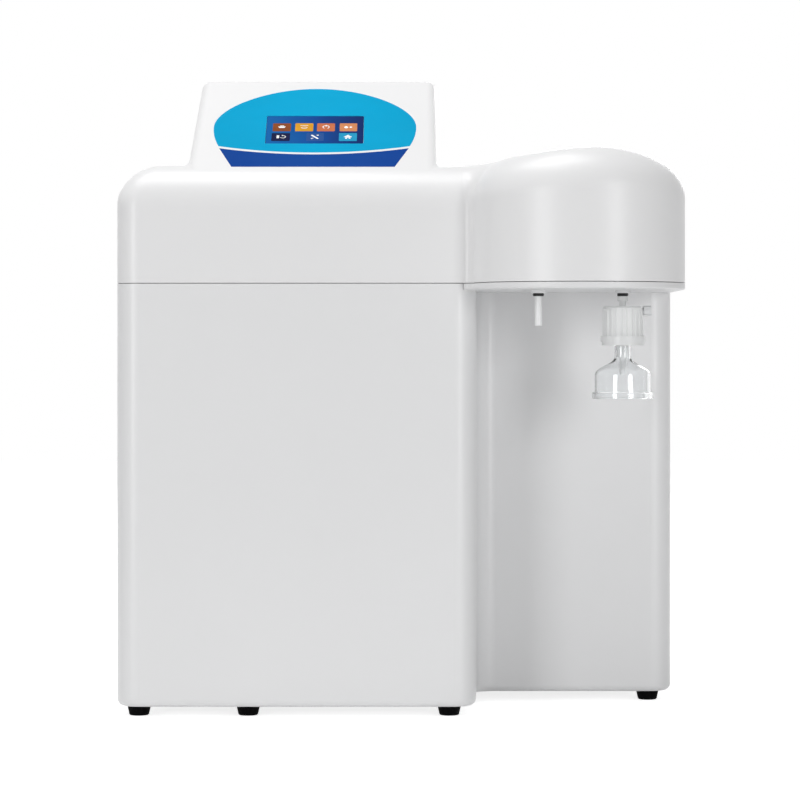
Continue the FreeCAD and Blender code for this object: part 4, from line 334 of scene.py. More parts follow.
def metalFinish(name, look):
    # bare metal with its rolling or brushing lines and rubbed edges
    look = dict(usualMetal, **look)
    material, tree, shader = startMaterial(name)
    drifted = driftedColour(tree, look["colour"], look)
    worn = wornColour(tree, drifted, look)
    join(tree, worn, shader.inputs["Base Color"])
    lines = placeGroup(tree, brushLines, {"Line Scale": look["lineScale"], "Roughness": look["roughness"],
                                          "Spread": look["spread"]})
    join(tree, lines.outputs["Roughness"], shader.inputs["Roughness"])
    bumpFrom(tree, lines.outputs["Height"], shader, look)
    shader.inputs["Metallic"].default_value = 1.0
    return material


usualClear = {"driftScale": 40.0, "drift": 0.03, "grainScale": 400.0, "roughness": 0.05,
              "smudgeScale": 60.0, "spread": 0.05, "bump": 0.05, "bumpDepth": 0.0002,
              "transmission": 1.0, "ior": 1.45}


def clearFinish(name, look):
    # clear or milky plastic and glass
    look = dict(usualClear, **look)
    material, tree, shader = startMaterial(name)
    drifted = driftedColour(tree, look["colour"], look)
    join(tree, drifted, shader.inputs["Base Color"])
    grain = grainOf(tree, look)
    join(tree, grain["Roughness"], shader.inputs["Roughness"])
    bumpFrom(tree, grain["Height"], shader, look)
    shader.inputs["Transmission Weight"].default_value = look["transmission"]
    shader.inputs["IOR"].default_value = look["ior"]
    return material


def dress(name, material):
    nodes[name].data.materials.clear()
    nodes[name].data.materials.append(material)


# cabinet, cover and tray mouldings
cabinetLook = {"colour": (0.780, 0.782, 0.788, 1.0), "roughness": 0.32, "spread": 0.05, "grainScale": 700.0,
               "bump": 0.08, "drift": 0.02, "driftScale": 3.0, "wear": 0.08, "dust": 0.03,
               "coat": 0.05, "coatRoughness": 0.22}
coverLook = {"colour": (0.800, 0.800, 0.805, 1.0), "roughness": 0.33, "spread": 0.04, "grainScale": 600.0,
             "bump": 0.05, "drift": 0.015, "driftScale": 3.0, "wear": 0.06, "dust": 0.02,
             "coat": 0.03, "coatRoughness": 0.2}
trayLook = {"colour": (0.760, 0.762, 0.768, 1.0), "roughness": 0.38, "spread": 0.08, "grainScale": 1100.0,
            "bump": 0.2, "drift": 0.03, "wear": 0.10, "dust": 0.04}
dress("cabinet_shell", mouldedFinish("cabinetMoulding", cabinetLook))
dress("top_cover", mouldedFinish("coverMoulding", coverLook))
dress("head_tray", mouldedFinish("trayMoulding", trayLook))
print("mouldings dressed")

# display: printed films and the screen
usualFilm = {"driftScale": 30.0, "drift": 0.04, "wearRadius": 0.0003, "wear": 0.3, "grainScale": 1800.0,
             "smudgeScale": 35.0, "spread": 0.08, "bump": 0.12, "bumpDepth": 0.0001}


def filmFinish(name, look):
    # printed film, a little lighter in the middle, with the fine texture of a matt laminate
    look = dict(usualFilm, **look)
    material, tree, shader = startMaterial(name)
    axes = axesOf(tree, ownPlace(tree))
    fromMiddle = calculate(tree, "SUBTRACT", axes["X"], look["middleX"])
    across = calculate(tree, "ABSOLUTE", fromMiddle, 0.0)
    share = mapped(tree, across, 0.0, look["halfWidth"], 0.0, 1.0)
    printed = mixColours(tree, share, look["middleColour"], look["edgeColour"])
    worn = wornColour(tree, driftedColour(tree, printed, look), look)
    join(tree, worn, shader.inputs["Base Color"])
    grain = grainOf(tree, look)
    join(tree, grain["Roughness"], shader.inputs["Roughness"])
    bumpFrom(tree, grain["Height"], shader, look)
    shader.inputs["Specular IOR Level"].default_value = look["specular"]
    return material


overlayLook = {"middleX": -0.0778, "halfWidth": 0.095, "middleColour": screenColour(10, 166, 212),
               "edgeColour": screenColour(8, 160, 205), "worn": (0.35, 0.62, 0.75, 1.0),
               "roughness": 0.5, "specular": 0.02}
stripLook = {"middleX": -0.0778, "halfWidth": 0.090, "middleColour": screenColour(20, 72, 152),
             "edgeColour": screenColour(18, 66, 146), "worn": (0.2, 0.3, 0.5, 1.0),
             "roughness": 0.5, "specular": 0.02}
dress("display_overlay", filmFinish("overlayFilm", overlayLook))
dress("title_strip", filmFinish("stripFilm", stripLook))

screenLook = {"leftX": -0.122, "rightX": -0.033, "leftColour": screenColour(10, 92, 160),
              "middleColour": screenColour(6, 66, 140), "rightColour": screenColour(6, 36, 94),
              "middleAt": 0.55, "swirlScale": 22.0, "swirlDetail": 3.0, "swirl": 0.6,
              "glow": 0.08, "specular": 0.02,
              "grainScale": 300.0, "roughness": 0.06, "smudgeScale": 50.0, "spread": 0.10}


def screenFinish(name, look):
    # lit screen behind glass: a blue ground that darkens to the right, with a soft swirl
    material, tree, shader = startMaterial(name)
    place = ownPlace(tree)
    axes = axesOf(tree, place)
    waves = noise(tree, place, look["swirlScale"], look["swirlDetail"])
    shift = calculate(tree, "MULTIPLY", calculate(tree, "SUBTRACT", waves, 0.5), look["swirl"])
    share = mapped(tree, axes["X"], look["leftX"], look["rightX"], 0.0, 1.0)
    ramp = addNode(tree, "ShaderNodeValToRGB")
    ramp.color_ramp.elements[0].color = look["leftColour"]
    ramp.color_ramp.elements[1].color = look["rightColour"]
    middle = ramp.color_ramp.elements.new(look["middleAt"])
    middle.color = look["middleColour"]
    join(tree, calculate(tree, "ADD", share, shift), ramp.inputs["Fac"])
    join(tree, ramp.outputs["Color"], shader.inputs["Base Color"])
    join(tree, ramp.outputs["Color"], shader.inputs["Emission Color"])
    shader.inputs["Emission Strength"].default_value = look["glow"]
    join(tree, grainOf(tree, look)["Roughness"], shader.inputs["Roughness"])
    shader.inputs["Specular IOR Level"].default_value = look["specular"]
    return material


dress("touch_screen", screenFinish("screenGlass", screenLook))

# the sloping face of the pod: its foot in the frame and its slope
faceFoot = Vector((0.0, -0.132137, 0.485226))
faceSlope = math.radians(32.0)
alongFace = Vector((0.0, math.cos(faceSlope), math.sin(faceSlope)))
offFace = Vector((0.0, -math.sin(faceSlope), math.cos(faceSlope)))


def onFace(x, v, lift):
    # x and v in mm on the sloping face, lift in mm above it
    return Vector((x * mm, 0.0, 0.0)) + faceFoot + alongFace * (v * mm) + offFace * (lift * mm)


litPrint = {"driftScale": 160.0, "drift": 0.12, "grainScale": 600.0, "roughness": 0.12, "smudgeScale": 80.0,
            "spread": 0.10, "specular": 0.03}


def glowFinish(name, colour, glow):
    # print that the screen lights up
    material, tree, shader = startMaterial(name)
    drifted = driftedColour(tree, colour, litPrint)
    join(tree, drifted, shader.inputs["Base Color"])
    join(tree, drifted, shader.inputs["Emission Color"])
    shader.inputs["Emission Strength"].default_value = glow
    join(tree, grainOf(tree, litPrint)["Roughness"], shader.inputs["Roughness"])
    shader.inputs["Specular IOR Level"].default_value = litPrint["specular"]
    return material


def addToScene(name, data):
    item = bpy.data.objects.new(name, data)
    bpy.context.scene.collection.objects.link(item)
    return item


def newPiece(name, mesh, material, body):
    piece = addToScene(name, mesh)
    mesh.materials.append(material)
    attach(piece, body)


def meshFrom(name, shape):
    mesh = bpy.data.meshes.new(name)
    bmesh.ops.recalc_face_normals(shape, faces=shape.faces)
    shape.to_mesh(mesh)
    shape.free()
    for polygon in mesh.polygons:
        polygon.use_smooth = False
    return mesh


def addPlate(shape, outline, bottom, height, place):
    # a closed plate over an outline in (x, v)
    top = bottom + height
    low = [shape.verts.new(place(x, v, bottom)) for x, v in outline]
    high = [shape.verts.new(place(x, v, top)) for x, v in outline]
    count = len(outline)
    shape.faces.new(high)
    shape.faces.new(list(reversed(low)))
    for k in range(count):
        after = (k + 1) % count
        shape.faces.new([low[k], low[after], high[after], high[k]])


def roundedSquare(x0, x1, v0, v1, radius, steps=4):
    corners = [(x1 - radius, v0 + radius, -90), (x1 - radius, v1 - radius, 0),
               (x0 + radius, v1 - radius, 90), (x0 + radius, v0 + radius, 180)]
    points = []
    for centreX, centreV, start in corners:
        for k in range(steps + 1):
            turn = math.radians(start + 90.0 * k / steps)
            points.append((centreX + radius * math.cos(turn), centreV + radius * math.sin(turn)))
    return points


def arcBand(x, v, inner, outer, start, end, steps=14):
    # the outline of a band along an arc, from start to end in degrees
    turns = [math.radians(start + (end - start) * k / steps) for k in range(steps + 1)]
    outside = [(x + outer * math.cos(t), v + outer * math.sin(t)) for t in turns]
    inside = [(x + inner * math.cos(t), v + inner * math.sin(t)) for t in reversed(turns)]
    return outside + inside


dropShape = {"tip": 1.5, "steps": 12, "startAngle": 35.0, "sweep": 250.0}


def dropOutline(x, v, size):
    points = [(x, v + size * dropShape["tip"])]
    for k in range(dropShape["steps"] + 1):
        turn = math.radians(dropShape["startAngle"] - dropShape["sweep"] * k / dropShape["steps"])
        points.append((x + size * math.cos(turn), v + size * math.sin(turn)))
    return points


# tiles on the screen: left, right, lower and upper edge in mm on the face, and colour
tileLook = {"lift": -0.28, "height": 0.03, "glow": 0.05, "radius": 1.0}
tiles = {
    "tileIntake": ((-116.4, -99.8, 76.6, 92.2), screenColour(138, 71, 32)),
    "tileStore": ((-95.9, -79.4, 76.6, 92.2), screenColour(218, 155, 40)),
    "tileClean": ((-75.9, -59.6, 76.6, 92.2), screenColour(199, 112, 74)),
    "tileOutlet": ((-55.2, -39.2, 76.6, 92.2), screenColour(209, 136, 90)),
    "tileTimer": ((-117.0, -100.2, 57.6, 73.0), screenColour(3, 16, 66)),
    "tileTools": ((-85.2, -69.4, 57.6, 73.0), screenColour(36, 80, 147)),
    "tileHome": ((-55.6, -39.2, 57.6, 73.0), screenColour(30, 152, 196)),
}
for name, (edges, colour) in tiles.items():
    shape = bmesh.new()
    addPlate(shape, roundedSquare(*edges, tileLook["radius"]), tileLook["lift"], tileLook["height"], onFace)
    newPiece(name, meshFrom(name, shape), glowFinish(name + "Light", colour, tileLook["glow"]), "cover")

# plain signs on the tiles, drawn in mm on the face and then shrunk towards the middle of their tile
signLook = {"lift": -0.25, "height": 0.03, "colour": (0.88, 0.89, 0.90, 1.0), "glow": 0.15, "shrink": 0.78}
signPlates = {
    "tileIntake": [  # a low basin
        [(-112.6, 86.4), (-103.6, 86.4), (-105.2, 82.8), (-111.0, 82.8)],
        roundedSquare(-110.6, -105.6, 87.2, 88.6, 0.6)],
    "tileStore": [  # a tank with a lid and a level
        arcBand(-87.6, 85.4, 3.4, 4.3, 200, 340),
        roundedSquare(-92.2, -83.0, 88.4, 89.3, 0.4),
        roundedSquare(-90.4, -84.8, 84.4, 85.2, 0.35)],
    "tileClean": [  # a ring with a stop
        arcBand(-67.7, 85.0, 3.2, 4.2, -60, 240),
        roundedSquare(-68.2, -67.2, 86.0, 90.4, 0.4)],
    "tileOutlet": [  # two drops
        dropOutline(-49.8, 84.2, 2.4),
        dropOutline(-44.4, 84.6, 1.6)],
    "tileTimer": [  # a bar and a turning arc
        roundedSquare(-113.4, -110.4, 62.4, 69.6, 0.6),
        arcBand(-106.0, 65.8, 2.6, 3.5, -150, 110),
        [(-107.4, 70.4), (-104.6, 69.2), (-107.2, 67.6)]],
    "tileTools": [  # two crossed bars
        [(-82.6, 69.6), (-80.6, 71.0), (-72.8, 61.8), (-74.6, 60.4)],
        [(-76.0, 70.2), (-73.6, 71.2), (-72.6, 69.6), (-74.8, 68.6)],
        [(-82.4, 61.4), (-81.4, 60.4), (-79.0, 63.0), (-79.8, 63.8)]],
    "tileHome": [  # roof and walls
        [(-52.4, 65.6), (-47.4, 70.8), (-42.4, 65.6), (-43.6, 65.0), (-51.2, 65.0)],
        [(-50.4, 64.6), (-44.4, 64.6), (-44.4, 61.2), (-46.4, 61.2), (-46.4, 63.4), (-48.4, 63.4),
         (-48.4, 61.2), (-50.4, 61.2)]],
}
signs = bmesh.new()
for name, outlines in signPlates.items():
    x0, x1, v0, v1 = tiles[name][0]
    middleX = (x0 + x1) / 2.0
    middleV = (v0 + v1) / 2.0
    for outline in outlines:
        small = [(middleX + (x - middleX) * signLook["shrink"], middleV + (v - middleV) * signLook["shrink"])
                 for x, v in outline]
        addPlate(signs, small, signLook["lift"], signLook["height"], onFace)
signMesh = meshFrom("screenSigns", signs)
newPiece("screenSigns", signMesh, glowFinish("signLight", signLook["colour"], signLook["glow"]), "cover")
print("display dressed")

# rubber, seals and small plastic
footLook = {"colour": (0.003, 0.003, 0.0034, 1.0), "roughness": 0.65, "spread": 0.2, "grainScale": 1500.0,
            "bump": 0.5, "drift": 0.3, "wear": 0.15, "worn": (0.02, 0.02, 0.02, 1.0), "dust": 0.04,
            "specular": 0.04}
washerLook = {"colour": (0.01, 0.01, 0.011, 1.0), "roughness": 0.4, "grainScale": 2200.0, "bump": 0.3,
              "drift": 0.2, "wear": 0.3, "worn": (0.05, 0.05, 0.05, 1.0), "dust": 0.1}
bufferLook = {"colour": (0.02, 0.02, 0.021, 1.0), "roughness": 0.6, "grainScale": 900.0, "bump": 0.4,
              "drift": 0.2, "dust": 0.3}
dress("rubber_feet", mouldedFinish("footRubber", footLook))
dress("outlet_washers", mouldedFinish("washerRubber", washerLook))
dress("pump_mounts", mouldedFinish("bufferRubber", bufferLook))

# outlets
glandLook = {"colour": (0.82, 0.825, 0.83, 1.0), "roughness": 0.35, "grainScale": 1500.0, "bump": 0.15,
             "wear": 0.15}
nutLook = {"colour": (0.66, 0.66, 0.65, 1.0), "roughness": 0.42, "grainScale": 1500.0, "bump": 0.2,
           "wear": 0.3}
nozzleLook = {"colour": (0.88, 0.885, 0.89, 1.0), "roughness": 0.30, "grainScale": 1800.0, "bump": 0.08,
              "subsurface": 0.3, "dust": 0.0, "wear": 0.08}
dress("outlet_glands", mouldedFinish("glandPlastic", glandLook))
dress("gland_nuts", mouldedFinish("nutPlastic", nutLook))
dress("outlet_tube", mouldedFinish("nozzlePlastic", nozzleLook))
capsuleLook = {"colour": (0.87, 0.88, 0.88, 1.0), "roughness": 0.34, "spread": 0.05, "grainScale": 1600.0,
               "bump": 0.03, "drift": 0.02, "wear": 0.05, "dust": 0.0, "transmission": 0.12,
               "subsurface": 0.3, "specular": 0.35}
bellLook = {"colour": (0.97, 0.98, 0.985, 1.0), "roughness": 0.03, "spread": 0.03, "transmission": 1.0,
            "ior": 1.45}
capLook = {"colour": (0.80, 0.81, 0.82, 1.0), "roughness": 0.3, "spread": 0.05, "grainScale": 1600.0,
           "bump": 0.04, "drift": 0.02, "wear": 0.05, "dust": 0.0, "transmission": 0.15, "subsurface": 0.2}
membraneLook = {"colour": (0.86, 0.86, 0.85, 1.0), "roughness": 0.8, "grainScale": 2600.0, "bump": 0.5,
                "drift": 0.06}
dress("filter_capsule", mouldedFinish("capsulePlastic", capsuleLook))
dress("dispensing_bell", clearFinish("bellPlastic", bellLook))
dress("vent_cap", mouldedFinish("ventPlastic", capLook))
dress("capsule_membrane", mouldedFinish("membraneFelt", membraneLook))
print("outlets dressed")

# back of the machine
panelLook = {"colour": (0.72, 0.725, 0.735, 1.0), "roughness": 0.38, "grainScale": 420.0, "bump": 0.35,
             "wear": 0.5, "worn": (0.55, 0.55, 0.56, 1.0), "wearRadius": 0.0004, "dust": 0.1}
screwLook = {"colour": (0.55, 0.55, 0.57, 1.0), "roughness": 0.25, "lineScale": 160.0, "wear": 0.7}
hingeLook = {"colour": (0.60, 0.60, 0.61, 1.0), "roughness": 0.24, "lineScale": 90.0, "wear": 0.6}
pinLook = {"colour": (0.52, 0.52, 0.54, 1.0), "roughness": 0.18, "lineScale": 200.0, "wear": 0.5}
portLook = {"colour": (0.80, 0.80, 0.78, 1.0), "roughness": 0.36, "grainScale": 1500.0, "bump": 0.12,
            "wear": 0.2}
inletLook = {"colour": (0.012, 0.012, 0.013, 1.0), "roughness": 0.42, "grainScale": 1300.0, "bump": 0.25,
             "wear": 0.4, "worn": (0.08, 0.08, 0.08, 1.0)}
drawerLook = dict(inletLook, roughness=0.36)
rockerLook = {"colour": (0.010, 0.010, 0.011, 1.0), "roughness": 0.16, "grainScale": 1600.0, "bump": 0.05,
              "wear": 0.4, "worn": (0.08, 0.08, 0.08, 1.0), "coat": 0.4}
bladeLook = {"colour": (0.72, 0.66, 0.50, 1.0), "roughness": 0.2, "lineScale": 220.0}
fuseLook = {"colour": (0.85, 0.88, 0.88, 1.0), "roughness": 0.06, "transmission": 0.6}
panelPaint = mouldedFinish("panelPaint", panelLook)
screwSteel = metalFinish("screwSteel", screwLook)
hingeSteel = metalFinish("hingeSteel", hingeLook)
portPlastic = mouldedFinish("portPlastic", portLook)
dress("rear_panel", panelPaint)
for name in ("panel_screws", "foot_screws", "display_screws", "hinge_screws_lower", "hinge_screws_upper"):
    dress(name, screwSteel)
for name in ("hinge_leaves_lower", "hinge_leaves_upper"):
    dress(name, hingeSteel)
dress("hinge_pins", metalFinish("pinSteel", pinLook))
for name in ("port_bodies", "port_nuts"):
    dress(name, portPlastic)

# release sleeves: one plastic in three colours
colletLook = {"roughness": 0.34, "grainScale": 1700.0, "bump": 0.15, "wear": 0.35,
              "worn": (0.5, 0.5, 0.52, 1.0)}
colletColours = {"feed": (0.03, 0.10, 0.48, 1.0), "tank": (0.03, 0.30, 0.10, 1.0),
                 "drain": (0.12, 0.12, 0.125, 1.0)}
for name, colour in colletColours.items():
    dress(name + "_collet", mouldedFinish(name + "ColletPlastic", dict(colletLook, colour=colour)))
dress("tank_level_socket", mouldedFinish("socketPlastic", inletLook))
dress("power_inlet", mouldedFinish("inletPlastic", inletLook))
dress("fuse_drawer", mouldedFinish("drawerPlastic", drawerLook))
dress("rocker_switch", mouldedFinish("rockerPlastic", rockerLook))
dress("inlet_pins", metalFinish("bladePlate", bladeLook))
dress("fuses", clearFinish("fuseGlass", fuseLook))

# painted marks on the rocker: a bar for on and a ring for off, in mm from its middle
markLook = {"barHeight": 1.7, "barHalf": 0.35, "barAt": 3.2, "barRound": 0.3,
            "ringOuter": 1.55, "ringInner": 1.05, "ringAt": -3.2, "lift": -0.03, "height": 0.11}
markPaint = {"colour": (0.78, 0.78, 0.77, 1.0), "roughness": 0.5, "grainScale": 2400.0, "bump": 0.2,
             "drift": 0.08, "wear": 0.1, "worn": (0.3, 0.3, 0.3, 1.0), "wearRadius": 0.0001, "dust": 0.0}
rockerLow, rockerHigh = (Vector(corner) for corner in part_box("rocker_switch"))
rockerMiddle = (rockerLow + rockerHigh) / 2.0
rockerMesh = nodes["rocker_switch"].data
rockerPoints = [vertex.co for vertex in rockerMesh.vertices]
rockerFaces = [list(polygon.vertices) for polygon in rockerMesh.polygons]
rockerSkin = BVHTree.FromPolygons(rockerPoints, rockerFaces)
farBehind = 1.0
forwards = Vector((0.0, -1.0, 0.0))


def onRocker(x, v, lift):
    # x and v in mm from the rocker's middle, seen from behind, dropped on its skin
    start = Vector((rockerMiddle.x - x * mm, farBehind, rockerMiddle.z + v * mm))
    hit, normal = rockerSkin.ray_cast(start, forwards)[:2]
    return hit + normal * (lift * mm)


marks = bmesh.new()
barFoot = markLook["barAt"] - markLook["barHeight"]
barHead = markLook["barAt"] + markLook["barHeight"]
outlines = [roundedSquare(-markLook["barHalf"], markLook["barHalf"], barFoot, barHead, markLook["barRound"])]
for start in (0, 180):
    outlines.append(arcBand(0.0, markLook["ringAt"], markLook["ringInner"], markLook["ringOuter"],
                            start, start + 180))
for outline in outlines:
    addPlate(marks, outline, markLook["lift"], markLook["height"], onRocker)
newPiece("switchMarks", meshFrom("switchMarks", marks), mouldedFinish("markPaint", markPaint), "rocker")
print("back dressed")

# inside the machine
plasticLooks = {
    "cartridge_cradle": {"colour": (0.05, 0.052, 0.055, 1.0), "roughness": 0.5, "bump": 0.4, "dust": 0.3},
    "support_posts": {"colour": (0.04, 0.04, 0.043, 1.0), "roughness": 0.45, "bump": 0.3, "dust": 0.2},
    "sediment_filter": {"colour": (0.78, 0.785, 0.79, 1.0), "roughness": 0.3, "bump": 0.1, "dust": 0.15},
    "carbon_filter": {"colour": (0.56, 0.59, 0.62, 1.0), "roughness": 0.3, "bump": 0.1, "dust": 0.15},
    "membrane_housing": {"colour": (0.80, 0.80, 0.78, 1.0), "roughness": 0.28, "bump": 0.1, "dust": 0.15},
    "polishing_packs": {"colour": (0.05, 0.13, 0.36, 1.0), "roughness": 0.3, "bump": 0.1, "dust": 0.2,
                        "wear": 0.3, "worn": (0.2, 0.3, 0.5, 1.0)},
    "canister_heads": {"colour": (0.03, 0.03, 0.033, 1.0), "roughness": 0.42, "bump": 0.3, "dust": 0.3,
                       "wear": 0.4, "worn": (0.12, 0.12, 0.12, 1.0)},
    "resistivity_cell": {"colour": (0.03, 0.032, 0.035, 1.0), "roughness": 0.4, "bump": 0.2},
    "pump_head": {"colour": (0.02, 0.02, 0.022, 1.0), "roughness": 0.42, "bump": 0.3, "dust": 0.2},
    "pump_motor": {"colour": (0.03, 0.03, 0.034, 1.0), "roughness": 0.36, "bump": 0.25, "dust": 0.25},
    "valve_bodies": {"colour": (0.74, 0.73, 0.68, 1.0), "roughness": 0.4, "bump": 0.2},
    "valve_coils": {"colour": (0.012, 0.012, 0.014, 1.0), "roughness": 0.3, "bump": 0.15, "dust": 0.15},
    "lamp_ballast": {"colour": (0.72, 0.72, 0.70, 1.0), "roughness": 0.4, "bump": 0.25, "dust": 0.2},
}
for name, look in plasticLooks.items():
    dress(name, mouldedFinish(name.title().replace("_", "") + "Skin", look))
tubeLook = {"colour": (0.90, 0.91, 0.92, 1.0), "roughness": 0.28, "transmission": 0.3}
dress("water_tubes", clearFinish("tubePlastic", tubeLook))
sheetLooks = {
    "base_plate": {"colour": (0.50, 0.51, 0.52, 1.0), "roughness": 0.4, "lineScale": 12.0},
    "support_plate": {"colour": (0.52, 0.53, 0.54, 1.0), "roughness": 0.36, "lineScale": 14.0},
    "pump_bracket": {"colour": (0.50, 0.51, 0.52, 1.0), "roughness": 0.38, "lineScale": 20.0},
    "board_bracket": {"colour": (0.52, 0.53, 0.54, 1.0), "roughness": 0.38, "lineScale": 14.0},
    "uv_chamber": {"colour": (0.62, 0.62, 0.63, 1.0), "roughness": 0.2, "lineScale": 40.0},
    "power_supply": {"colour": (0.58, 0.59, 0.60, 1.0), "roughness": 0.34, "lineScale": 26.0},
    "lcd_module": {"colour": (0.60, 0.60, 0.60, 1.0), "roughness": 0.3, "lineScale": 60.0},
    "display_standoffs": {"colour": (0.60, 0.45, 0.18, 1.0), "roughness": 0.26, "lineScale": 160.0},
}
for name, look in sheetLooks.items():
    dress(name, metalFinish(name.title().replace("_", "") + "Metal", look))


def boardFinish(name, look):
    # green circuit board with lighter runs under the lacquer, and its parts in their own colours
    material, tree, shader = startMaterial(name)
    place = ownPlace(tree)
    runs = addNode(tree, "ShaderNodeTexVoronoi", feature="DISTANCE_TO_EDGE")
    feedAll(tree, runs, {"Scale": look["runScale"], "Vector": place})
    line = mapped(tree, runs.outputs["Distance"], look["runInner"], look["runOuter"], 1.0, 0.0)
    printed = mixColours(tree, line, look["colour"], look["runColour"])
    raised = dotProduct(tree)
    feed(tree, place, raised.inputs[0])
    feed(tree, look["outward"], raised.inputs[1])
    isPart = calculate(tree, "GREATER_THAN", raised.outputs["Value"], look["partsFrom"])
    axes = axesOf(tree, place)
    parts = addNode(tree, "ShaderNodeValToRGB")
    parts.color_ramp.interpolation = "CONSTANT"
    upTheBoard = mapped(tree, axes["Z"], look["lowest"], look["highest"], 0.0, 1.0)
    join(tree, upTheBoard, parts.inputs["Fac"])
    stops = parts.color_ramp.elements
    readyStops = len(stops)
    for k, (start, colour) in enumerate(look["bands"]):
        stop = stops[k] if k < readyStops else stops.new(start)
        stop.position = start
        stop.color = colour
    shown = mixColours(tree, isPart, printed, parts.outputs["Color"])
    dust = placeGroup(tree, dustFall, {"Colour": shown, "Amount": look["dust"]})
    drifted = driftedColour(tree, dust.outputs["Colour"], look)
    join(tree, drifted, shader.inputs["Base Color"])
    join(tree, grainOf(tree, look)["Roughness"], shader.inputs["Roughness"])
    bare = calculate(tree, "SUBTRACT", 1.0, isPart)
    bumpFrom(tree, calculate(tree, "MULTIPLY", line, bare), shader, look)
    return material


# depth in metres at which the boards' parts begin: from the control board's back, and under the pod's face
partDepths = {"control": 0.0019, "display": 0.0176}
controlLow, controlHigh = (Vector(corner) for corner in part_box("control_board"))
blackPart = (0.012, 0.012, 0.014, 1.0)
bluePart = (0.015, 0.05, 0.18, 1.0)
greenPart = (0.05, 0.26, 0.10, 1.0)
controlLook = {"colour": (0.012, 0.10, 0.04, 1.0), "runColour": (0.03, 0.20, 0.08, 1.0), "runScale": 180.0,
               "runInner": 0.03, "runOuter": 0.07, "dust": 0.2, "drift": 0.15, "driftScale": 120.0,
               "grainScale": 900.0, "roughness": 0.3, "smudgeScale": 14.0, "spread": 0.12,
               "bump": 0.3, "bumpDepth": 0.0001,
               "outward": (-1.0, 0.0, 0.0), "partsFrom": -(controlHigh.x - partDepths["control"]),
               "lowest": controlLow.z, "highest": controlHigh.z,
               "bands": [(0.0, greenPart), (0.20, bluePart), (0.45, blackPart), (0.78, greenPart)]}
displayBoardLook = dict(controlLook, outward=tuple(-offFace),
                        partsFrom=partDepths["display"] - faceFoot.dot(offFace),
                        bands=[(0.0, blackPart), (1.0, blackPart)])
dress("control_board", boardFinish("controlLacquer", controlLook))
dress("display_board", boardFinish("displayLacquer", displayBoardLook))
print("inside dressed")

# studio
floorLook = {"colour": (0.90, 0.90, 0.90, 1.0), "roughness": 0.9, "specular": 0.0, "half": 6.0, "lift": 0.76}
half = floorLook["half"]
floorCorners = [(-half, -half, 0), (half, -half, 0), (half, half, 0), (-half, half, 0)]
floorMesh = bpy.data.meshes.new("studioFloor")
floorMesh.from_pydata(floorCorners, [], [(0, 1, 2, 3)])
studioFloor = addToScene("studioFloor", floorMesh)


def seenDirectly(tree):
    # 1 where the background is looked at, mirrored or seen through, 0 where it lights the object
    rays = addNode(tree, "ShaderNodeLightPath")
    mirrored = calculate(tree, "MAXIMUM", rays.outputs["Is Glossy Ray"], rays.outputs["Is Transmission Ray"])
    return calculate(tree, "MAXIMUM", rays.outputs["Is Camera Ray"], mirrored)


floorMaterial, floorTree, floorShader = startMaterial("floorPaper")
floorShader.inputs["Base Color"].default_value = floorLook["colour"]
floorShader.inputs["Roughness"].default_value = floorLook["roughness"]
floorShader.inputs["Specular IOR Level"].default_value = floorLook["specular"]
floorGlow = addNode(floorTree, "ShaderNodeEmission")
floorLift = calculate(floorTree, "MULTIPLY", seenDirectly(floorTree), floorLook["lift"])
join(floorTree, floorLift, floorGlow.inputs["Strength"])
floorSum = addNode(floorTree, "ShaderNodeAddShader")
join(floorTree, floorShader.outputs[0], floorSum.inputs[0])
join(floorTree, floorGlow.outputs[0], floorSum.inputs[1])
join(floorTree, floorSum.outputs[0], floorTree.nodes["Material Output"].inputs["Surface"])
floorMesh.materials.append(floorMaterial)

# the room: soft light on the object, and white where it is seen directly
roomLook = {"colour": (1.0, 1.0, 1.0, 1.0), "diffuse": 0.26, "seen": 1.0}
world = bpy.data.worlds.new("room")
bpy.context.scene.world = world
world.use_nodes = True
worldTree = world.node_tree
worldTree.nodes.clear()


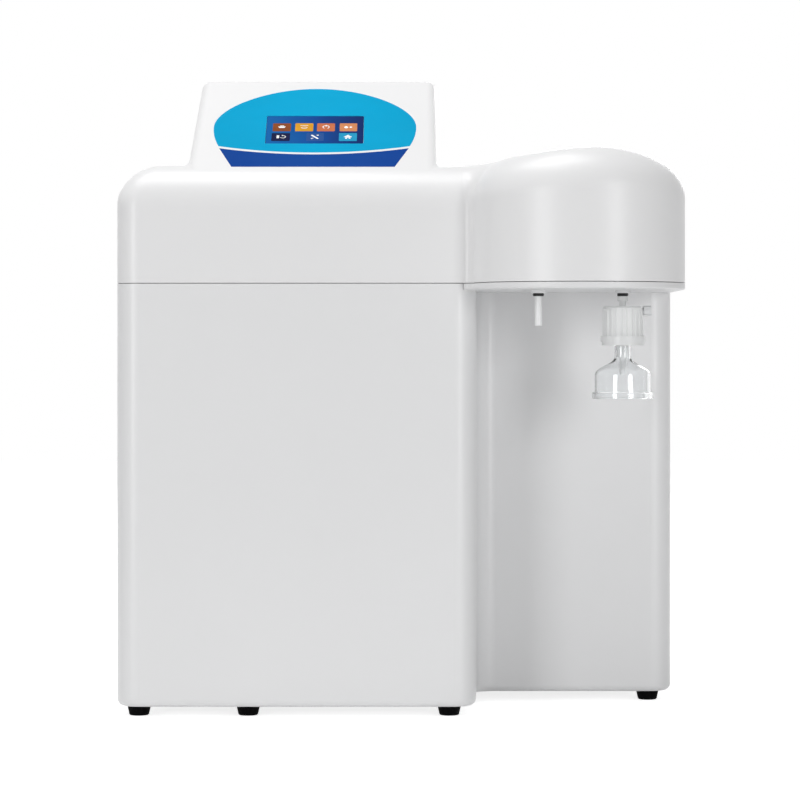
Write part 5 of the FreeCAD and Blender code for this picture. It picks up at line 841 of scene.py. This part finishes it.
def roomLight(strength):
    background = addNode(worldTree, "ShaderNodeBackground")
    feedAll(worldTree, background, {"Color": roomLook["colour"], "Strength": strength})
    return background.outputs[0]


softRoom = roomLight(roomLook["diffuse"])
whiteRoom = roomLight(roomLook["seen"])
roomMix = addNode(worldTree, "ShaderNodeMixShader")
roomOut = addNode(worldTree, "ShaderNodeOutputWorld")
join(worldTree, seenDirectly(worldTree), roomMix.inputs[0])
join(worldTree, softRoom, roomMix.inputs[1])
join(worldTree, whiteRoom, roomMix.inputs[2])
join(worldTree, roomMix.outputs[0], roomOut.inputs[0])

lamps = {
    "keyLamp": {"place": (-2.45, -4.0, 0.80), "aim": (0.0, 0.0, 0.40), "size": (1.2, 1.5), "power": 46.0},
    "sideLamp": {"place": (2.2, -3.4, 0.85), "aim": (0.0, 0.0, 0.40), "size": (0.8, 1.6), "power": 35.0},
    "topLamp": {"place": (-0.45, -0.2, 2.6), "aim": (0.0, 0.0, 0.4), "size": (1.6, 1.3), "power": 35.0},
    "backLamp": {"place": (0.9, 3.4, 1.5), "aim": (0.0, 0.2, 0.3), "size": (1.6, 1.2), "power": 30.0},
}
for name, look in lamps.items():
    light = bpy.data.lights.new(name, "AREA")
    light.shape = "RECTANGLE"
    light.size, light.size_y = look["size"]
    light.energy = look["power"]
    lamp = addToScene(name, light)
    lamp.location = look["place"]
    towards = Vector(look["aim"]) - Vector(look["place"])
    lamp.rotation_euler = towards.to_track_quat("-Z", "Y").to_euler()

# camera a little above the middle of the machine, looking level
cameraLook = {"place": (0.0, -2.75, 0.324), "tilt": 90.0, "sensor": 36.0, "lens": 132.2, "shift": -0.06}
camera = bpy.data.cameras.new("camera")
camera.sensor_width = cameraLook["sensor"]
camera.lens = cameraLook["lens"]
camera.shift_y = cameraLook["shift"]
cameraObject = addToScene("camera", camera)
cameraObject.location = cameraLook["place"]
cameraObject.rotation_euler = (math.radians(cameraLook["tilt"]), 0.0, 0.0)
bpy.context.scene.camera = cameraObject
bpy.context.scene.view_settings.view_transform = "Standard"
print("studio ready")
